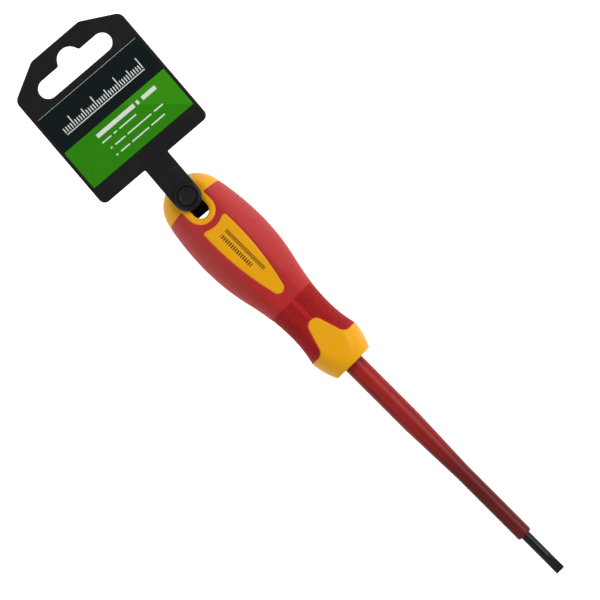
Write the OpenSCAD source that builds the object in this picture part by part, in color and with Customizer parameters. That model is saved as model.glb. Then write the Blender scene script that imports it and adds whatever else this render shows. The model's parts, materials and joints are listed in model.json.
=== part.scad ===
// Insulated slotted screwdriver, 3.5 x 100 mm, on a retail hanger.
//
// Origin: centre of the guard's front face, on the blade's axis.
// +X runs to the tip, +Z is up with the tool lying on its back, and +Y completes the frame.
// Places along the handle are given as the distance back from the guard face, so they lie at -X.

/* [Handle] */
// Length from the guard face to the end of the butt
handle_len = 87; // [75:0.5:105]
// Distance from the fattest part of the barrel to the end of the butt
barrel_to_butt = 29.3; // [27:0.1:31]
// Radius of the barrel at its fattest
barrel_r = 13.46; // [11.5:0.02:16]
// Place of the waist, back from the guard face
waist_at = 20.8; // [18:0.1:24]
// Radius of the waist
waist_r = 8.87; // [8:0.01:10.5]
// Place of the guard's rear edge, where the soft grip starts
guard_at = 9.6; // [8:0.1:11.5]
// Radius of the guard's front face, at its rounded edge
guard_face_r = 8.0; // [7:0.1:9]
// Radius of the curve from the barrel to the butt, seen from above
rear_curve_r = 98; // [90:1:110]
// Radius of the hollow curve from the waist to the guard
collar_curve_r = 45.8; // [40:0.1:55]
// Radius of the guard's own curve
guard_curve_r = 25; // [20:0.5:30]
// Radius of the guard's front edge
guard_edge_r = 0.8; // [0.4:0.1:1.2]
// Depth of the front and back facets under the round form
facet_depth = 1.26; // [1:0.02:1.5]
// Radius of the facets' curve towards the butt, seen from the side
facet_rear_r = 70; // [60:1:85]

/* [Soft grip] */
// Thickness of the soft grip over the core
grip_wall = 2.0; // [1.6:0.1:2.4]
// Distance from the pin to the grip's rear edge on the centreline
grip_end_before_pin = 2.3; // [1.5:0.1:3]
// Radius of the grip's rear edge, seen from above
grip_end_r = 61; // [50:1:80]
// Half width of the window at its widest
window_half_w = 5.45; // [4.6:0.05:5.7]
// Distance from the window's widest point to its rear corners
window_wide_to_rear = 5.1; // [4:0.1:7]
// Radius of the window's long sides
window_side_r = 106; // [95:1:130]
// Distance from the waist to the centre of the window's round front end
window_front_after_waist = 15.7; // [14.5:0.1:18]
// Length of the window's corners beside its hollow rear end
window_corner_len = 0.9; // [0.5:0.1:1.2]
// Width of the strip of grip between the window and the slot's ring
band_w = 2.2; // [1.6:0.1:2.6]
// Width of the hard ring round the hanging slot
ring_wall = 2.23; // [1.8:0.01:2.5]
// Half width of the guard's tongue where it leaves the guard
tongue_root_w = 5.6; // [4.8:0.1:6.2]
// Radius of the tongue's round end
tongue_end_r = 2.9; // [2.4:0.1:3.3]
// Distance from the waist forwards to the centre of the tongue's round end
tongue_end_before_waist = 3.0; // [2:0.1:4]

/* [Hanging slot] */
// Thickness of the butt behind the slot
butt_wall = 3.93; // [3.2:0.01:5]
// Distance between the slot's two round ends
slot_travel = 6.3; // [5.2:0.1:7.5]
// Clearance of the pin in the slot, on each side
slot_gap = 0.32; // [0.2:0.02:0.6]

/* [Blade] */
// Length of the blade from the guard face to the tip
blade_len = 100; // [80:1:150]
// Radius of the steel bar
bar_r = 1.75; // [1.45:0.05:2.2]
// Solid plastic between the end of the bar and the hanging slot
bar_end_wall = 12.63; // [8:0.01:18]
// Length of the forged wings that stop the bar turning
wing_len = 12; // [8:1:14]
// Distance from the end of the bar to the middle of the wings
wing_from_end = 14; // [10:1:20]
// Width across the wings
wing_w = 6.4; // [5:0.1:7.8]
// Thickness of the wings
wing_t = 1.5; // [1.2:0.1:1.9]
// Length of the ground faces at the tip
grind_len = 7.5; // [6:0.1:9.5]
// Thickness of the tip
tip_t = 0.6; // [0.5:0.05:0.8]

/* [Blade sleeve] */
// Wall of the sleeve's thick stretch
sleeve_thick_wall = 2.0; // [1.6:0.05:2.4]
// Wall of the sleeve's thin stretch
sleeve_thin_wall = 1.1; // [0.9:0.05:1.4]
// Length of the thick stretch from the guard face
sleeve_thick_len = 28.3; // [20:0.1:35]
// Length of the taper from the thick stretch to the thin one
sleeve_taper_len = 24.6; // [15:0.1:30]
// Length of bare steel beyond the sleeve
bare_len = 17.1; // [13:0.1:20]
// Radius of the sleeve's front edge
sleeve_edge_r = 0.8; // [0.4:0.1:0.85]
// Depth to which the sleeve goes into the handle
sleeve_depth = 10; // [8:0.5:14]
// Height of the flange that locks the sleeve in the handle
flange_lip = 0.85; // [0.5:0.05:1.2]

/* [Hanger] */
// Angle of the hanger to the tool's axis
hanger_tilt = 4.5; // [-20:0.5:20]
// Distance that the pin can run forwards before the arms meet the barrel
pin_travel = 2.4; // [1.5:0.1:3]
// Running clearance between the arms and the butt
arm_gap = 0.3; // [0.2:0.05:0.6]
// Width of the arm beside the boss
arm_rim = 0.45; // [0.2:0.05:0.8]
// Thickness of the card and its front arm
card_t = 1.6; // [1.3:0.1:2]
// Thickness of the rear arm
strap_t = 1.2; // [1:0.1:1.6]
// Length of the rear arm's square end beyond the arm's round end
strap_tail = 2.65; // [1.5:0.05:3]
// Clearance between the fold and the side of the barrel as the hanger swings past it
fold_gap = 0.44; // [0.3:0.02:1]
// Distance from the fold to the card's near edge
fold_inset = 0.8; // [0.4:0.1:2]
// Half width of the card
card_half_w = 23.35; // [20:0.05:28]
// Length of the card
card_len = 53; // [46:0.5:64]
// Half width of the card's far edge between its chamfers
card_top_half_w = 10.5; // [9:0.1:13]
// Length of the chamfers along the card
card_chamfer = 7; // [5:0.1:9]
// Corner radius of the card
card_corner_r = 2.3; // [1.5:0.1:3]
// Distance from the card's far edge to the middle of the peg slot's long part
euro_inset = 10.7; // [9:0.1:12]
// Distance from the middle to the centres of the peg slot's round ends
euro_half_len = 12.0; // [10:0.1:14]
// Half height of the peg slot
euro_r = 3.45; // [3:0.05:3.8]
// Radius of the peg notch in the middle of the slot
euro_peg_r = 4.4; // [4:0.1:4.8]
// Distance of the peg notch's centre beyond the slot's middle
euro_peg_rise = 2.8; // [2:0.1:3.2]
// Height of the boss above the arm
boss_h = 0.8; // [0.5:0.1:1]
// Wall of the boss round the button
boss_wall = 1.1; // [0.8:0.05:1.4]

/* [Snap pin] */
// Radius of the pin's shaft
pin_r = 2.75; // [2.3:0.05:3.3]
// Running clearance of the shaft in the arms' holes, on the radius
pin_clear = 0.05; // [0.03:0.01:0.09]
// Width of the button's edge beyond the shaft
button_lip = 0.5; // [0.3:0.05:0.6]
// Thickness of the button
button_t = 0.9; // [0.7:0.1:1]
// Gap round the button
button_gap = 0.25; // [0.2:0.05:0.4]
// Thickness of the snap edge
snap_t = 0.5; // [0.4:0.05:0.55]
// Width of the slit that lets the snap edge close up
slit_w = 0.9; // [0.6:0.1:1.2]
// Depth of the slit
slit_len = 7; // [5:0.5:9]

/* [Labels] */
// Thickness of the labels
label_t = 0.15; // [0.1:0.05:0.3]
// Width of card left bare on each side of the front label
label_margin = 1.25; // [0.5:0.05:3]
// Distance from the card's near edge to the front label
label_inset = 6.5; // [4:0.1:8]
// Length of the front label along the card
label_len = 29.9; // [24:0.1:31]
// Width of the back label
back_label_w = 36; // [30:0.5:39]
// Length of the back label along the card
back_label_len = 24; // [18:0.5:29]

/* [Hidden] */
$fn = 64;
arc_fn = 720;                 // fine enough for the long curves of the grip's edges
arc_steps = 6;                // straight bands along each arc of the outline

big = 80;                     // larger than any cross-section of the tool
axial_gap = 0.05;             // end float of the pin's heads in their recesses
seat_depth = 0.1;             // how far the sleeve's thick stretch sits in the guard's face

// What fits round the pin: its slot and ring, its button, and the arms that carry it.
slot_half_w = pin_r + slot_gap;
ring_r = slot_half_w + ring_wall;
button_r = pin_r + button_lip;
recess_r = button_r + button_gap;
boss_r = recess_r + boss_wall;
arm_r = boss_r + arm_rim;
arm_hole_r = pin_r + pin_clear;

// Places along the handle, back from the guard face.
pin_at = handle_len - butt_wall - slot_half_w;
slot_front_at = pin_at - slot_travel;
barrel_at = handle_len - barrel_to_butt;
bar_depth = slot_front_at - slot_half_w - bar_end_wall;
grip_end = pin_at - grip_end_before_pin;
window_hollow_r = ring_r + band_w;
window_rear_at = slot_front_at - window_hollow_r + window_corner_len;
window_wide_at = window_rear_at - window_wide_to_rear;
window_front_at = waist_at + window_front_after_waist;
tongue_end_at = waist_at - tongue_end_before_waist;

// The sleeve is moulded round the bar.
sleeve_r = bar_r + sleeve_thick_wall;
sleeve_thin_r = bar_r + sleeve_thin_wall;
sleeve_end = blade_len - bare_len;

// The front curve's two arcs share the rise from waist to barrel and meet in a common tangent.
rise = barrel_r - waist_r;
run = barrel_at - waist_at;
arc_sum_r = (run * run + rise * rise) / (2 * rise);
hollow_r = 0.485 * arc_sum_r;
swell_r = arc_sum_r - hollow_r;

// Centres of the outline's arcs, as [distance back, height].
rear_c = [barrel_at, barrel_r - rear_curve_r];
swell_c = [barrel_at, barrel_r - swell_r];
hollow_c = [waist_at, waist_r + hollow_r];
collar_c = [waist_at, waist_r + collar_curve_r];
facet_c = [barrel_at, barrel_r - facet_depth - facet_rear_r];

// The butt is part of a sphere that ends at handle_len and lies inside the rear curve, touching it.
butt_span = rear_curve_r - handle_len;
butt_at = (pow(barrel_at, 2) + pow(rear_c[1], 2) - pow(butt_span, 2)) / (2 * (butt_span + barrel_at));
butt_r = handle_len - butt_at;
butt_c = [butt_at, 0];

// The guard's arc runs from its front edge to the height of the collar at guard_at.
guard_top = collar_height(0);
guard_c = arc_centre([guard_edge_r, guard_face_r], [guard_at, guard_top], guard_curve_r);

// Heights of the hanger's layers, from the facet under the strap's corner at the end of its travel.
strap_end = arm_r + strap_tail;
strap_reach = norm([strap_end, arm_r]);
arm_z = facet_height(pin_at - pin_travel - strap_reach) + arm_gap;
card_top = arm_z + card_t;
boss_top = card_top + boss_h;
strap_bottom = -arm_z - strap_t;
button_seat = boss_top - button_t - 2 * axial_gap;
snap_seat = strap_bottom + snap_t + 2 * axial_gap;

// Places along the hanger, from the pin.
fold_at = max(barrel_r, handle_len - pin_at) + fold_gap;
card_near = fold_at + strap_t + fold_inset;
card_far = card_near + card_len;
euro_at = card_far - euro_inset;
euro_peg_at = euro_at + euro_peg_rise;
label_near = card_near + label_inset;

// Centre of the circle of radius r through p and q that lies below them.
function arc_centre(p, q, r) =
    let (d = q - p, m = (p + q) / 2, half = norm(d) / 2, drop = sqrt(r * r - half * half))
    m + drop * [d[1], -d[0]] / norm(d);

// Height of the collar's curve at the guard, a depth under the skin.
function collar_height(depth) =
    collar_c[1] - sqrt(pow(collar_curve_r + depth, 2) - pow(waist_at - guard_at, 2));

// Height of the facet's rear curve at a distance back from the guard face.
function facet_height(at) =
    facet_c[1] + sqrt(pow(facet_rear_r, 2) - pow(at - barrel_at, 2));

// Point where the tangent from p touches the circle of radius r centred at [at, 0].
function tangent_point(p, at, r) =
    let (c = [at, 0] - p, d = norm(c), len = sqrt(d * d - r * r),
         a = atan2(c[1], c[0]) - asin(r / d))
    p + len * [cos(a), sin(a)];

// Corners of a convex outline cut back to where a round of radius r starts and ends.
function round_starts(pts, r) =
    let (n = len(pts))
    [for (i = [0 : n - 1], side = [-1, 1])
        let (a = pts[(i + n - 1) % n] - pts[i], b = pts[(i + 1) % n] - pts[i],
             half = acos(a * b / norm(a) / norm(b)) / 2, to = side < 0 ? a : b)
        pts[i] + to / norm(to) * r / tan(half)];

// Centres of those rounds.
function round_centres(pts, r) =
    let (n = len(pts))
    [for (i = [0 : n - 1])
        let (a = pts[(i + n - 1) % n] - pts[i], b = pts[(i + 1) % n] - pts[i],
             half = acos(a * b / norm(a) / norm(b)) / 2, mid = a / norm(a) + b / norm(b))
        pts[i] + mid / norm(mid) * r / sin(half)];

// Convex outline with its corners rounded.
module rounded_outline(pts, r) {
    polygon(round_starts(pts, r));
    for (c = round_centres(pts, r)) translate(c) circle(r);
}

// Points on an arc between two places along the handle, without the last one. The side is +1 for
// an arc that bulges outwards and -1 for a hollow one.
function arc_run(c, r, from, to, side, steps = arc_steps) =
    [for (i = [0 : steps - 1])
        let (at = from + (to - from) * i / steps)
        [at, c[1] + side * sqrt(r * r - pow(at - c[0], 2))]];

// Points on an arc between two angles, with both ends.
function arc_turn(c, r, from, to, steps) =
    [for (i = [0 : steps]) c + r * [cos(from + (to - from) * i / steps), sin(from + (to - from) * i / steps)]];

// Outline from the guard over the waist to the barrel, a depth under the skin.
function front_outline(depth) =
    let (swell_meets = hollow_c[0] + (swell_c[0] - hollow_c[0]) * (hollow_r + depth) / arc_sum_r)
    concat(arc_run(collar_c, collar_curve_r + depth, guard_at, waist_at, -1),
           arc_run(hollow_c, hollow_r + depth, waist_at, swell_meets, -1),
           arc_run(swell_c, swell_r - depth, swell_meets, barrel_at, 1));

// Half outline of the handle, a depth under its skin, as [distance back, radius].
function outline(depth) =
    let (start = depth + guard_edge_r,
         edge_c = [guard_edge_r, guard_face_r - guard_edge_r],
         face = depth > 0 ? [[start, 0]] : concat([[0, 0]], arc_turn(edge_c, guard_edge_r, 180, 110, 3)),
         butt_meets = butt_at + (butt_at - rear_c[0]) * (butt_r - depth) / norm(butt_c - rear_c))
    concat(face,
           arc_run(guard_c, guard_curve_r - depth, start, guard_at, 1),
           front_outline(depth),
           arc_run(rear_c, rear_curve_r - depth, barrel_at, butt_meets, 1),
           arc_turn(butt_c, butt_r - depth, acos((butt_meets - butt_at) / (butt_r - depth)), 0, 2 * arc_steps));

// Upper side view that cuts the front and back facets on the round form, a depth under them.
function facets(depth) =
    let (front = front_outline(facet_depth + depth), end = handle_len + 1)
    concat([[-1, front[0][1]]], front,
           arc_run(facet_c, facet_rear_r - depth, barrel_at, end, 1),
           [[end, facet_height(end) - depth]]);

// Handle form, a depth under its skin.
module handle_form(depth = 0) {
    side = facets(depth);
    under = [for (i = [len(side) - 1 : -1 : 0]) [side[i][0], -side[i][1]]];
    intersection() {
        rotate([0, 90, 0]) rotate_extrude() rotate(-90) polygon(outline(depth));
        rotate([90, 0, 0]) linear_extrude(2 * big, center = true)
            mirror([1, 0]) polygon(concat(side, under));
    }
}

// Plan shapes that are cut square through the handle are drawn as [distance back, across].
module through_handle() {
    linear_extrude(2 * big, center = true) mirror([1, 0]) children();
}

// The hard ring round the hanging slot, open towards the butt.
module ring_plan() {
    translate([slot_front_at, 0]) circle(ring_r);
    translate([slot_front_at, -ring_r]) square([handle_len - slot_front_at, 2 * ring_r]);
}

// The window in the grip: two long arcs, a round front end and a hollow rear end.
module window_plan() {
    side_c = [window_wide_at, window_half_w - window_side_r];
    front_r = side_c[1] + sqrt(pow(window_side_r, 2) - pow(window_front_at - side_c[0], 2));
    difference() {
        intersection() {
            translate(side_c) circle(window_side_r, $fn = arc_fn);
            translate([side_c[0], -side_c[1]]) circle(window_side_r, $fn = arc_fn);
            translate([window_front_at, -big]) square([window_rear_at - window_front_at, 2 * big]);
        }
        translate([slot_front_at, 0]) circle(window_hollow_r);
    }
    translate([window_front_at, 0]) circle(front_r);
}

// The guard's tongue, which runs back over the waist and ends round.
module tongue_plan() {
    touch = tangent_point([guard_at, -tongue_root_w], tongue_end_at, tongue_end_r);
    translate([tongue_end_at, 0]) circle(tongue_end_r);
    polygon([[guard_at - 1, -tongue_root_w], [guard_at, -tongue_root_w], touch, [touch[0], -touch[1]],
             [guard_at, tongue_root_w], [guard_at - 1, tongue_root_w]]);
}

// Stretch of the handle that the soft grip covers.
module grip_zone() {
    intersection() {
        translate([-handle_len, -big, -big]) cube([handle_len - guard_at, 2 * big, 2 * big]);
        translate([grip_end_r - grip_end, 0, 0])
            cylinder(2 * big, grip_end_r, grip_end_r, center = true, $fn = arc_fn);
    }
}

// Where the core shows through the grip, front and back.
module core_windows() {
    through_handle() {
        ring_plan();
        window_plan();
        tongue_plan();
    }
}

// The hanging slot, from face to face of the butt.
module slot_cut() {
    through_handle() {
        for (at = [slot_front_at, slot_front_at + slot_travel]) translate([at, 0]) circle(slot_half_w);
        translate([slot_front_at, -slot_half_w]) square([slot_travel, 2 * slot_half_w]);
    }
}

// Round bar with forged wings and a ground tip.
module bar_form() {
    difference() {
        union() {
            translate([-bar_depth, 0, 0]) rotate([0, 90, 0]) cylinder(bar_depth + blade_len, bar_r, bar_r);
            translate([wing_from_end - bar_depth, 0, 0]) cube([wing_len, wing_w, wing_t], center = true);
        }
        for (side = [0, 1]) mirror([0, 0, side]) rotate([90, 0, 0])
            linear_extrude(4 * bar_r, center = true)
                polygon([[blade_len - grind_len, bar_r], [blade_len + 1, bar_r + 1],
                         [blade_len + 1, grind_face(blade_len + 1)], [blade_len, tip_t / 2]]);
    }
}

// Height of the ground face at a place along the blade.
function grind_face(at) = bar_r + (tip_t / 2 - bar_r) * (at - blade_len + grind_len) / grind_len;

// Outside of the sleeve, without the bar's bore. Inside the handle it necks down to the thin
// stretch's radius and ends in a flange, so it can't pull out.
module sleeve_form() {
    flange_r = sleeve_r + flange_lip;
    flange_t = sleeve_depth / 3;
    edge = arc_turn([sleeve_end - sleeve_edge_r, sleeve_thin_r - sleeve_edge_r], sleeve_edge_r, 90, 0, 4);
    rotate([0, 90, 0]) rotate_extrude() rotate(90) mirror([0, 1])
        polygon(concat([[-sleeve_depth, 0], [-sleeve_depth, flange_r],
                        [flange_t - sleeve_depth, flange_r], [flange_t - sleeve_depth, sleeve_thin_r],
                        [-seat_depth, sleeve_thin_r], [-seat_depth, sleeve_r],
                        [sleeve_thick_len, sleeve_r],
                        [sleeve_thick_len + sleeve_taper_len, sleeve_thin_r]],
                       edge, [[sleeve_end, 0]]));
}

// Puts what is drawn along +X from the pin, at the hanger's tilt.
module on_hanger() {
    translate([-pin_at, 0, 0]) rotate(180 - hanger_tilt) children();
}

// Hole for the pin's shaft through an arm.
module pin_hole() {
    cylinder(2 * big, arm_hole_r, arm_hole_r, center = true);
}

// The hole that hangs on a peg: a long slot with a round notch in its far side.
module euro_plan() {
    for (side = [-1, 1]) translate([euro_at, side * euro_half_len]) circle(euro_r);
    translate([euro_at - euro_r, -euro_half_len]) square([2 * euro_r, 2 * euro_half_len]);
    translate([euro_peg_at, 0]) circle(euro_peg_r);
}

module blade_bar() {
    color("#2b2a2a") bar_form();
}

module blade_sleeve() {
    color("#a83232") difference() {
        sleeve_form();
        bar_form();
    }
}

module handle_core() {
    color("#f0ab20") difference() {
        union() {
            handle_form(grip_wall);
            difference() {
                handle_form();
                grip_zone();
            }
            intersection() {
                handle_form();
                core_windows();
            }
        }
        slot_cut();
        sleeve_form();
        bar_form();
    }
}

module grip_shell() {
    color("#b4302e") difference() {
        intersection() {
            handle_form();
            grip_zone();
        }
        handle_form(grip_wall);
        core_windows();
    }
}

module hanger_card() {
    color("#232323") on_hanger() difference() {
        union() {
            translate([0, 0, arm_z]) linear_extrude(card_t) {
                rounded_outline([[card_near, -card_half_w], [card_far - card_chamfer, -card_half_w],
                                 [card_far, -card_top_half_w], [card_far, card_top_half_w],
                                 [card_far - card_chamfer, card_half_w], [card_near, card_half_w]],
                                card_corner_r);
                circle(arm_r);
                translate([0, -arm_r]) square([card_near + 1, 2 * arm_r]);
            }
            translate([0, 0, arm_z]) cylinder(boss_top - arm_z, boss_r, boss_r);
        }
        linear_extrude(2 * big) euro_plan();
        pin_hole();
        translate([0, 0, button_seat]) cylinder(big, recess_r, recess_r);
    }
}

module hanger_strap() {
    color("#1c1c1c") on_hanger() difference() {
        rotate([90, 0, 0]) linear_extrude(2 * arm_r, center = true) {
            translate([-strap_end, strap_bottom]) square([strap_end + fold_at, strap_t]);
            intersection() {
                translate([fold_at, -arm_z]) circle(strap_t);
                translate([fold_at, strap_bottom]) square(strap_t);
            }
            translate([fold_at, -arm_z]) square([strap_t, 2 * arm_z]);
        }
        pin_hole();
        translate([0, 0, snap_seat - big]) cylinder(big, recess_r, recess_r);
    }
}

module snap_pin() {
    foot = strap_bottom + axial_gap;
    color("#151515") translate([-pin_at, 0, 0]) difference() {
        union() {
            translate([0, 0, foot]) cylinder(button_seat + button_t - foot, pin_r, pin_r);
            translate([0, 0, button_seat + axial_gap]) cylinder(button_t, button_r, button_r);
            translate([0, 0, foot]) cylinder(snap_t, pin_r, button_r);
        }
        translate([-big, -slit_w / 2, foot - big]) cube([2 * big, slit_w, big + slit_len]);
    }
}

module front_label() {
    label_w = 2 * (card_half_w - label_margin);
    color("#2f8a10") on_hanger() translate([label_near, -label_w / 2, card_top])
        cube([label_len, label_w, label_t]);
}

module back_label() {
    color("#d8d8d4") on_hanger()
        translate([label_near + (label_len - back_label_len) / 2, -back_label_w / 2, arm_z - label_t])
            cube([back_label_len, back_label_w, label_t]);
}

blade_bar();
blade_sleeve();
handle_core();
grip_shell();
hanger_card();
hanger_strap();
snap_pin();
front_label();
back_label();
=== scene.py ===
"""Insulated flat screwdriver on a swinging hanging card: its surfaces, finishes and studio, in metres."""
import json
import math

import bmesh
import bpy
import numpy as np
from bpy.props import FloatProperty, FloatVectorProperty, IntProperty, PointerProperty
from bpy.types import Operator, Panel, PropertyGroup
from mathutils import Matrix, Vector


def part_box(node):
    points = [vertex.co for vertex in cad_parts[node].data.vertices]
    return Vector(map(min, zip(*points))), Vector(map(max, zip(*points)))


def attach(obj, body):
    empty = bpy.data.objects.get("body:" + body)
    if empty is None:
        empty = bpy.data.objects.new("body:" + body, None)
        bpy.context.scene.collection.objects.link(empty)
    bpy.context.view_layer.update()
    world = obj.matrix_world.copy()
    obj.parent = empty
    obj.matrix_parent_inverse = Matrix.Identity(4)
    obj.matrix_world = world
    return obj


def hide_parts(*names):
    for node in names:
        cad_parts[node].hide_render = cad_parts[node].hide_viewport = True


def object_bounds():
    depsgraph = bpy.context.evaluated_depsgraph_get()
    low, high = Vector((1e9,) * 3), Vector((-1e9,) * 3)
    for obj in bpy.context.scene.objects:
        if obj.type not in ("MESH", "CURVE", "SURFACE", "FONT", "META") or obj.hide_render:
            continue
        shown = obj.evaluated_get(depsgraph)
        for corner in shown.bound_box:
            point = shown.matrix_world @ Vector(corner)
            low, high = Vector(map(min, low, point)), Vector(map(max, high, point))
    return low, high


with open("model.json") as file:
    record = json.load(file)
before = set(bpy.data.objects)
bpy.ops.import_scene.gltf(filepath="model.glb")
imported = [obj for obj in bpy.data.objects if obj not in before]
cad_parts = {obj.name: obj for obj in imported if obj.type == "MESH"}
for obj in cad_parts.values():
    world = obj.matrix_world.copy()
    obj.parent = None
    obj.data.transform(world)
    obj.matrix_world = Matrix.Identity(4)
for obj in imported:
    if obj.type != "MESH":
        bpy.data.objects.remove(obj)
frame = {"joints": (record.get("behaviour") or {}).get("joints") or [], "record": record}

bl_info = {
    "name": "Insulated Screwdriver",
    "version": (1, 0, 0),
    "blender": (4, 5, 0),
    "location": "View3D > Sidebar > Screwdriver",
    "description": "Builds the detailed surfaces and finishes of an insulated screwdriver on its hanger",
    "category": "Add Mesh",
}

MM = 0.001
FACET_SHARPNESS = 40          # sharpness of the soft edge between a facet and the round form
CAD_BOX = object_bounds()

# Places and sizes that the frame gives.
CORE_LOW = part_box("handle_core")[0]
GRIP_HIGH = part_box("grip_shell")[1]
SLEEVE_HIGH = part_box("blade_sleeve")[1]
BAR_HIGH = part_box("blade_bar")[1]
CARD_LOW, CARD_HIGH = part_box("hanger_card")
STRAP_LOW, STRAP_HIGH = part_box("hanger_strap")
PIN_LOW, PIN_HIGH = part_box("snap_pin")
MOUNTS = {m["name"]: m for m in frame["record"]["mounts"]}
JOINTS = {j["name"]: j for j in frame["joints"]}
HANDLE_LENGTH = -CORE_LOW.x
GUARD_AT = -GRIP_HIGH.x
PIN_AT = -JOINTS["hanger_swing"]["pos_m"][0]
SLEEVE_RADIUS = MOUNTS["sleeve_shank"]["dims"]["r_mm"] * MM
BLADE_LENGTH = BAR_HIGH.x


# ---------------------------------------------------------------- settings

def length(name, description, millimetres):
    """A size in metres that a user would change, given in millimetres."""
    return FloatProperty(name=name, description=description, default=millimetres * MM, min=0.0,
                         unit="LENGTH", subtype="DISTANCE", precision=5)


def colour(name, description, red, green, blue):
    """A finish's colour, given as display values from 0 to 255."""
    def linear(value):
        share = value / 255
        return share / 12.92 if share <= 0.04045 else ((share + 0.055) / 1.055) ** 2.4
    return FloatVectorProperty(name=name, description=description, subtype="COLOR", size=3, min=0.0, max=1.0,
                               default=(linear(red), linear(green), linear(blue)))


class HandleSettings(PropertyGroup):
    """The handle's outside form and its hard plastic."""
    barrel_at: length("Barrel place", "Place of the barrel's fattest part, back from the guard face", 57.7)
    barrel_radius: length("Barrel radius", "Radius of the barrel at its fattest", 13.46)
    waist_at: length("Waist place", "Place of the waist, back from the guard face", 20.8)
    waist_radius: length("Waist radius", "Radius of the waist", 8.87)
    face_radius: length("Guard face radius", "Radius of the guard's front face at its rounded edge", 8.0)
    face_edge: length("Guard edge", "Radius of the guard's front edge", 0.8)
    guard_curve: length("Guard curve", "Radius of the guard's own curve", 25)
    collar_curve: length("Collar curve", "Radius of the hollow from the waist to the guard", 45.8)
    rear_curve: length("Rear curve", "Radius of the curve from the barrel to the butt", 98)
    facet_depth: length("Facet depth", "Depth of the front and back facets under the round form", 1.26)
    facet_curve: length("Facet curve", "Radius of the facets' curve towards the butt", 70)
    slot_front_at: length("Slot front", "Place of the slot's front round end", 73.7)
    slot_rear_at: length("Slot rear", "Place of the slot's rear round end", 80.0)
    slot_half_width: length("Slot half width", "Half width of the hanging slot", 3.07)
    ring_wall: length("Ring wall", "Width of the hard ring round the slot", 2.23)
    plastic: colour("Hard plastic", "Colour of the yellow plastic", 243, 172, 14)
    columns: IntProperty(name="Columns", description="Cells round the hard core", default=264, min=24)


class GripSettings(PropertyGroup):
    """The soft grip, its openings and its texture."""
    thickness: length("Thickness", "Depth to which the grip's edges go down", 0.9)
    end_at: length("Rear edge", "Place of the rear edge on the centreline", 77.7)
    end_curve: length("Rear edge curve", "Radius of the rear edge, seen from above", 61)
    window_half_width: length("Window half width", "Half width of the window at its widest", 5.45)
    window_widest_at: length("Window widest place", "Place of the window's widest point", 62)
    window_side_curve: length("Window side curve", "Radius of the window's long sides", 106)
    window_front_at: length("Window front", "Place of the centre of the window's round front end", 36.5)
    window_band: length("Band", "Width of grip between the window and the slot's ring", 2.2)
    window_corner: length("Window corner", "Radius of the window's rear corners", 0.6)
    window_corner_length: length("Window corner length", "Length of the corners beside the hollow rear end",
                                 0.9)
    tongue_root: length("Tongue root", "Half width of the guard's tongue where it leaves the guard", 5.6)
    tongue_radius: length("Tongue end", "Radius of the tongue's round end", 2.9)
    tongue_end_at: length("Tongue end place", "Place of the centre of the tongue's round end", 17.8)
    tongue_fillet: length("Tongue fillet", "Radius of the grip's corners beside the tongue's root", 2.0)
    texture_end_at: length("Texture end", "Place where the small square pads end", 29.9)
    pad_depth: length("Pad depth", "Depth of the grooves between the pads", 0.16)
    pad_rows_length: length("Pad length", "Length of one pad with its groove", 0.63)
    pads_round: IntProperty(name="Pads round", description="Pads round the grip", default=88, min=8)
    strip_half_width: length("Strip half width", "Half width of the smooth strip through the pads", 0.75)
    rubber: colour("Rubber", "Colour of the soft red grip", 184, 32, 34)
    # painted sheen: the pale colour painted on the smooth grip where the soft lights reflect
    bloom: colour("Bloom", "Colour of the pale bloom on the smooth grip", 204, 104, 102)


class BladeSettings(PropertyGroup):
    """The insulating sleeve and the steel bar."""
    thick_length: length("Thick length", "Length of the sleeve's thick stretch", 28.3)
    taper_length: length("Taper length", "Length of the taper", 24.6)
    thin_radius: length("Thin radius", "Radius of the sleeve's thin stretch", 2.85)
    front_edge: length("Front edge", "Radius of the sleeve's front edge", 0.8)
    bar_radius: length("Bar radius", "Radius of the steel bar", 1.75)
    grind_length: length("Grind length", "Length of the ground faces at the tip", 7.5)
    tip_thickness: length("Tip thickness", "Thickness of the tip", 0.6)
    sleeve: colour("Sleeve", "Colour of the insulating sleeve", 170, 38, 36)
    sleeve_thin: colour("Thin sleeve", "Colour of the sleeve where it was drawn thin", 104, 30, 28)
    steel: colour("Steel", "Colour of the blackened steel", 40, 40, 40)


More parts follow.
